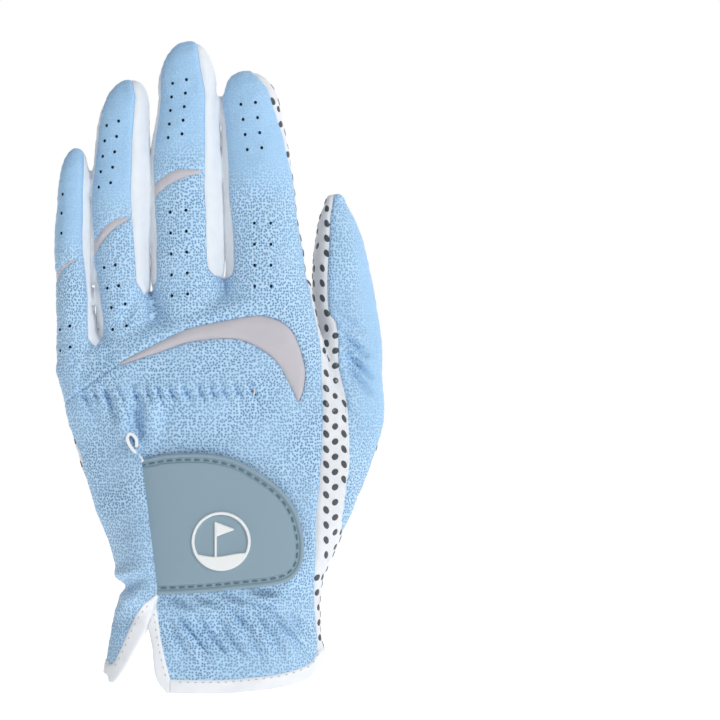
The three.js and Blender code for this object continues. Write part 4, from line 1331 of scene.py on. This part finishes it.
def raised(name, field, sheet, base, height, wall, slot, move="tab"):
    """A rounded relief piece on the tab's face."""
    part = cut(sheet, field)
    for away in (0.05, 0.15, RELIEF_EDGE):
        part = cut(part, grown(field, -away), keep_both=True)
    points, normals, tri = part
    lift = base + rounded(field, height, RELIEF_EDGE)(points) + 0.1
    solid, faces, _ = thick(points + normals * lift[:, None], normals, tri, wall)
    new_piece(name, solid, faces, LOOKS[slot], slot, move, [name])


tab_part = cut(tab_sheet(-30, 34, 28, 82, 0.8), tab_outline)
RIM_STEPS = (0.15, 0.35, 0.75, 1.15, 1.4, RIM_WIDE)
FIELD_STEPS = tuple(GROOVE_TO + step for step in (0, 0.1, 0.25, 0.5))
for away in RIM_STEPS + FIELD_STEPS:
    tab_part = cut(tab_part, grown(tab_rim, -away), keep_both=True)
points, normals, tri = tab_part
points = points + normals * tab_height(points)[:, None]
SURFACES["tab_body"] = (points, normals, tri, "tab", "teal_rubber")
solid, faces, _ = thick(points, normals, tri, TAB_THICK)
new_piece("tab_body", solid, faces, LOOKS["teal_rubber"], "teal_rubber", "tab_hinge", ["tab_body"])

EMBLEM, EMBLEM_RADIUS = (3.0, 49.5), 9.2
fine = tab_sheet(-9, 15, 38, 62, 0.4)


def round_emblem(p):
    return np.hypot(p[:, 0] - EMBLEM[0], p[:, 2] - EMBLEM[1])


def emblem_ring(p):
    return np.abs(round_emblem(p) - EMBLEM_RADIUS) - 0.5


def emblem_green(p):
    low = p[:, 2] - EMBLEM[1] + 4.4 + 0.6 * np.cos((p[:, 0] - 1) / 3)
    return np.maximum(round_emblem(p) - EMBLEM_RADIUS, low)


def on_emblem(*corners):
    return inside([(EMBLEM[0] + x, EMBLEM[1] + z) for x, z in corners])


emblem_pole = on_emblem((-2.2, -5), (-1.4, -5), (-1.4, 6.4), (-2.2, 6.4))
emblem_flag = on_emblem((-1.8, 6.4), (4.8, 3.9), (-1.8, 1.4))
emblem_field = least(emblem_ring, emblem_green, emblem_pole, emblem_flag)
raised("tab_emblem", emblem_field, fine, RELIEF, 0.75, 0.7, "white_rubber")

hook_sheet = tab_sheet(0, 32, 33, 74, 1.0)
patch = inside(spline([(4, 39.5), (19, 40), (24.5, 46), (23.5, 56), (17, 64), (4, 67)], 4, closed=True))
for name, drop, move in (("tab_hook_patch", 0.75, "tab"), ("loop_patch", 1.6, "hand")):
    raised(name, patch, hook_sheet, -TAB_THICK - drop, 0.5, 0.5, "hook_tape", move=move)

# ---------------------------------------------------------------- small things on the surface


def tree_of(names):
    points, faces, owner = [], [], []
    start = 0
    for name in names:
        p, _, t, _, _ = SURFACES[name]
        points.append(p)
        faces.append(t + start)
        owner += [name] * len(t)
        start += len(p)
    points, faces = np.concatenate(points), np.concatenate(faces)
    return BVHTree.FromPolygons(points.tolist(), faces.tolist()), owner


def blobs_piece(name, blobs, look, slot, move):
    """Joins small shapes, each (points, faces), into one piece."""
    points, faces, start = [], [], 0
    for p, f in blobs:
        points.append(p)
        faces += [tuple(i + start for i in face) for face in f]
        start += len(p)
    return new_piece(name, np.concatenate(points), faces, look, slot, move, flat=True)


def dome(tree, centre, normal, axis, long, short, height, sides=14):
    """A shallow dome that follows the surface below it."""
    normal = np.array(normal)
    axis = unit(axis - normal * (axis @ normal))
    other = np.cross(normal, axis)
    rings = [(1.0, -0.12), (0.96, 0.45), (0.75, 0.85), (0.4, 1.0)]
    points, faces = [], []
    for size, lift in rings:
        for k in range(sides):
            a = 2 * math.pi * k / sides
            at = centre + axis * long / 2 * size * math.cos(a) + other * short / 2 * size * math.sin(a)
            near, way, _, _ = tree.find_nearest(Vector(at))
            at = np.array(near) if near is not None else at
            points.append(at + normal * height * lift)
    points.append(np.mean(points[-sides:], 0) + normal * height * 0.05)
    for r in range(len(rings) - 1):
        for k in range(sides):
            a, b = r * sides + k, r * sides + (k + 1) % sides
            faces.append((a, b, b + sides, a + sides))
    last = (len(rings) - 1) * sides
    for k in range(sides):
        faces.append((last + k, last + (k + 1) % sides, last + sides))
    faces.append(tuple(reversed(range(sides))))
    return np.array(points), faces


def capsule(tree, start, end, radius, lift, sides=6):
    """A stitch: a short thread that hugs the surface between two places."""
    along = unit(end - start)
    rings = []
    for t in np.linspace(0, 1, 6):
        near, way, _, _ = tree.find_nearest(Vector(start + (end - start) * t))
        at, way = np.array(near), np.array(way)
        side = unit(np.cross(along, way))
        size = radius * math.sqrt(max(0.05, 1 - (2 * t - 1) ** 4))
        rise = lift * math.sin(math.pi * t) ** 0.5 if 0 < t < 1 else -0.1
        ring = [
            at + way * (rise + size * 0.8 * math.sin(a)) + side * size * math.cos(a)
            for a in 2 * math.pi * np.arange(sides) / sides
        ]
        rings.append(np.array(ring))
    return tube(rings)


# grip dots: offset columns, leaning by turns to the left and to the right
COLUMN, PITCH = 2.95, 5.0
TILTS = (math.radians(35), math.radians(-57))
DOT_SIZES = ((2.5, 2.1), (2.9, 1.9))
DOT_HEIGHT = 0.22
FACING = 0.62  # least cosine between a ray and the skin that it puts a dot on
dotted = [n for n, s in SURFACES.items() if s[4] == "dotted_fabric"]
everything, owners = tree_of(list(SURFACES))
placed = {}
taken = {}


def is_free(at, room=3.3):
    cell = tuple(int(v // room) for v in at)
    for dx in (-1, 0, 1):
        for dy in (-1, 0, 1):
            for dz in (-1, 0, 1):
                near = taken.get((cell[0] + dx, cell[1] + dy, cell[2] + dz), ())
                if any(np.linalg.norm(other - at) < room for other in near):
                    return False
    taken.setdefault(cell, []).append(at)
    return True


def clear_of_edges(name, at, axis, room=0.75):
    """True if a dot's middle lies well inside its panel."""
    near, _, face, _ = everything.find_nearest(Vector(at))
    if face is None or owners[face] != name:
        return False
    for way in (axis, -axis):
        _, _, face, _ = everything.find_nearest(Vector(at + way * room))
        if face is None or owners[face] != name:
            return False
    return True


def scatter_dots(ray_way, across, limits):
    """Dots seen along one direction, over a grid of columns across and rows in z."""
    ray_way, across = np.array(ray_way, float), np.array(across, float)
    for i, u in enumerate(np.arange(*limits, COLUMN)):
        lean = i % 2
        for z in np.arange(2.0 + PITCH / 2 * lean, 215.0, PITCH):
            start = across * u + np.array([0, 0, z]) - ray_way * FAR
            hit, normal, face, _ = everything.ray_cast(Vector(start), Vector(ray_way))
            if hit is None or owners[face] not in dotted or -np.array(normal) @ ray_way < FACING:
                continue
            at, name = np.array(hit), owners[face]
            if at[2] > 95 and abs(at[0]) > 44 and normal[1] < 0.5:
                continue  # the leather hides the dots along the pinky's and the thumb's outer edge
            tilt = TILTS[lean]
            axis = across * math.cos(tilt) + np.array([0, 0, 1]) * math.sin(tilt)
            if not clear_of_edges(name, at, axis) or not is_free(at):
                continue
            blob = dome(everything, at, normal, axis, *DOT_SIZES[lean], DOT_HEIGHT)
            placed.setdefault(name, []).append(blob)


scatter_dots((0, -1, 0), (-1, 0, 0), (-60, 60))
scatter_dots((0, 1, 0), (1, 0, 0), (-60, 60))
scatter_dots((0.35, 0.94, 0), (0.94, -0.35, 0), (-60, 60))
scatter_dots((-1, 0, 0), (0, 1, 0), (-20, 25))
scatter_dots((1, 0, 0), (0, -1, 0), (-25, 20))
for name, blobs in placed.items():
    blobs_piece(name + "_dots", blobs, GRIP, "dotted_fabric", SURFACES[name][3])

# vent holes, drawn as dark discs of painted shade: pairs that climb a finger
VENTS = [  # first pair's middle, steps up in x and z, how many, half the pair's spacing, its slope
    ((16.5, 133.2), (-0.05, 6.95), 4, 2.7, 0.0),
    ((13.7, 178.6), (-0.7, 5.0), 4, 2.4, -0.3),
    ((-10.9, 130.4), (-0.15, 6.9), 5, 2.6, -0.3),
    ((-12.5, 182.9), (0.35, 4.5), 5, 2.3, -0.6),
    ((-35.8, 166.7), (0.65, 5.1), 5, 2.0, -0.7),
    ((-30.8, 119.6), (-0.45, 7.2), 2, 2.3, -0.6),
    ((-33.0, 133.0), (-1.1, 6.8), 2, 1.9, -0.4),
    ((-48.9, 112.6), (-0.1, 6.9), 2, 1.7, -0.6),
]
SINGLE_VENTS = [(-50.2, 150.8), (-50.2, 157.4), (-49.8, 163.7)]
HOLE_SIZE = (1.05, 1.15, 0.07)  # wide, long, high
holes = {}


def add_hole(x, z):
    hit, normal, face, _ = everything.ray_cast(Vector((x, -FAR, z)), Vector((0, 1, 0)))
    if hit is None or SURFACES[owners[face]][4] != "blue_leather":
        return
    at, normal = np.array(hit), np.array(normal)
    disc = dome(everything, at + normal * 0.01, normal, np.array([1.0, 0, 0]), *HOLE_SIZE, 10)
    holes.setdefault(owners[face], []).append(disc)


for (x, z), (dx, dz), count, half, slope in VENTS:
    for k in range(count):
        for sign in (-1, 1):
            add_hole(x + dx * k + sign * half, z + dz * k - sign * slope)
for x, z in SINGLE_VENTS:
    add_hole(x, z)
for name, blobs in holes.items():
    blobs_piece(name + "_vents", blobs, VENT_SHADE, "blue_leather", SURFACES[name][3])


def along_line(line, length, gap):
    """Start and end of the stitches along a line of (x, z) points."""
    line = np.array(line, float)
    reach = np.concatenate([[0], np.cumsum(np.linalg.norm(np.diff(line, axis=0), axis=1))])
    at = gap
    while at + length < reach[-1]:
        run = (at, at + length)
        yield np.stack([np.interp(run, reach, line[:, 0]), np.interp(run, reach, line[:, 1])], 1)
        at += length + gap


BACK, PALM = -1, 1
FINE = (1.0, 1.5, 0.14, 0.04)  # a stitch's length, the gap after it, its radius and its rise


def stitches(name, line, side, look, move, size):
    """A row of stitches, seen from the back or from the palm."""
    length, gap, radius, lift = size
    blobs = []
    for ends in along_line(line, length, gap):
        way = Vector((0, -side, 0))
        hits = [everything.ray_cast(Vector((x, side * FAR, z)), way)[0] for x, z in ends]
        if None in hits:
            continue
        start, end = (np.array(hit) for hit in hits)
        if np.linalg.norm(start - end) < 2.5 * length:
            blobs.append(capsule(everything, start, end, radius, lift))
    blobs_piece(name, blobs, look, "thread", move)


def moved_line(line, distance):
    line = np.array(line, float)
    way = unit(np.gradient(line, axis=0))
    return line + np.stack([-way[:, 1], way[:, 0]], 1) * distance


HEM_ROWS = (("back", BACK, HEM_BACK, 60, -12.5), ("palm", PALM, HEM_PALM, 70, -33))
for name, side, hem, count, x0 in HEM_ROWS:
    xs = np.linspace(x0, 35.0, count)
    line = np.stack([xs, np.interp(xs, hem[:, 0], hem[:, 1]) + TAPE_WIDE - 0.8], 1)
    stitches("hem_stitches_" + name, line, side, STITCH_GREY, "hand", FINE)
slit_left, slit_right = moved_line(LEFT_TAPE, 1.2)[4:-8], moved_line(RIGHT_TAPE, -1.2)[4:]
stitches("slit_stitches_pinky_side", slit_left, BACK, STITCH_GREY, "hand", FINE)
stitches("slit_stitches", slit_right, BACK, STITCH_GREY, "hand", FINE)
bartack = [(13.7, 96.0), (13.7, 100.6)]
stitches("knuckle_bartack", bartack, BACK, STITCH_WHITE, "knuckles", (3.6, 0.4, 0.3, 0.12))
thumb_seam = moved_line([(x, z) for x, z in spline(THUMB_BACK, 3) if z < 100], 0.8)
stitches("thumb_seam_stitches", thumb_seam, BACK, STITCH_WHITE, "knuckles", (1.7, 1.1, 0.17, 0.06))
for name, line in (
    ("thumb", THUMB_PATCH[:-9]),
    ("heel_inner", HEEL_INNER[:-6]),
    ("heel_outer", HEEL_OUTER[:-6]),
):
    seam, size = moved_line(line, 0.9), (1.7, 0.8, 0.16, 0.05)
    stitches(name + "_patch_stitches", seam, PALM, STITCH_GREY, "knuckles", size)
tab_stitch_line = spline([(-25, 76.0), *TAB_CURVE[1:-1], (-22, 31.6)], 8)
tab_stitch_line = moved_line(tab_stitch_line, -(RIM_WIDE + GROOVE_TO) / 2)
tab_tree, _ = tree_of(["tab_body"])
tab_threads = []
for ends in along_line(tab_stitch_line, 2.3, 0.7):
    start, end = (np.array([x, TAB_FACE + sag(x), z]) for x, z in ends)
    tab_threads.append(capsule(tab_tree, start, end, 0.3, 0.12))
tab_thread_piece = blobs_piece("tab_stitching", tab_threads, LOOKS["thread"], "thread", "tab_hinge")
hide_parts("tab_stitching")

# ---------------------------------------------------------------- room, light and camera

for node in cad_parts.values():
    node.hide_render = True
    node.hide_viewport = True

SKY_FRONT = 0.16
floor_mesh = bpy.data.meshes.new("floor")
FLOOR_Z, FLOOR_HALF = -0.03, 6.0
corners = [(-1, -1), (1, -1), (1, 1), (-1, 1)]
floor_mesh.from_pydata([(x * FLOOR_HALF, y * FLOOR_HALF, FLOOR_Z) for x, y in corners], [], [(0, 1, 2, 3)])
floor = in_scene("floor", floor_mesh)
paper = bpy.data.materials.new("paper")
paper.use_nodes = True
shader = paper.node_tree.nodes["Principled BSDF"]
shader.inputs["Base Color"].default_value = (0.95, 0.95, 0.95, 1)
shader.inputs["Roughness"].default_value = 0.9
shader.inputs["Emission Color"].default_value = (1, 1, 1, 1)
shader.inputs["Emission Strength"].default_value = 0.6
floor_mesh.materials.append(paper)

# the sky is white behind the glove and all along the horizon, and greyer in front and to the left,
# so that the light has a direction
world = bpy.data.worlds.new("world")
world.use_nodes = True
sky = world.node_tree
background = sky.nodes["Background"]
background.inputs["Color"].default_value = (1, 1, 1, 1)
where = sky.nodes.new("ShaderNodeTexCoord")
toward = sky.nodes.new("ShaderNodeVectorMath")
toward.operation = "DOT_PRODUCT"
toward.inputs[1].default_value = (0.5, 1, 0)
sky.links.new(where.outputs["Generated"], toward.inputs[0])
height = sky.nodes.new("ShaderNodeSeparateXYZ")
sky.links.new(where.outputs["Generated"], height.inputs["Vector"])
brighter = sky.nodes.new("ShaderNodeMath")
brighter.operation = "MAXIMUM"
for k, (source, limits) in enumerate(
    ((toward.outputs["Value"], (-0.1, 0.8, SKY_FRONT, 1.0)), (height.outputs["Z"], (0.1, 0.16, 1.0, 0.0)))
):
    shade = sky.nodes.new("ShaderNodeMapRange")
    for key, number in zip(MAP_LIMITS, limits):
        shade.inputs[key].default_value = number
    sky.links.new(source, shade.inputs["Value"])
    sky.links.new(shade.outputs["Result"], brighter.inputs[k])
sky.links.new(brighter.outputs["Value"], background.inputs["Strength"])
bpy.context.scene.world = world


def area_light(name, place, target, size, power):
    data = bpy.data.lights.new(name, "AREA")
    data.size = size
    data.energy = power
    lamp = in_scene(name, data)
    lamp.location = place
    lamp.rotation_euler = (Vector(target) - Vector(place)).to_track_quat("-Z", "Y").to_euler()


area_light("key", (0.95, -1.0, 1.15), (0, 0, 0.1), 0.3, 13.3)

camera_data = bpy.data.cameras.new("camera")
camera_data.lens = 200
camera_data.sensor_width = 36
camera_data.clip_start, camera_data.clip_end = 0.05, 20
camera = in_scene("camera", camera_data)
camera.location = (0.0485, -1.327, 0.1089)
camera.rotation_euler = (math.pi / 2, 0, 0)
bpy.context.scene.camera = camera
bpy.context.scene.view_settings.view_transform = "Standard"
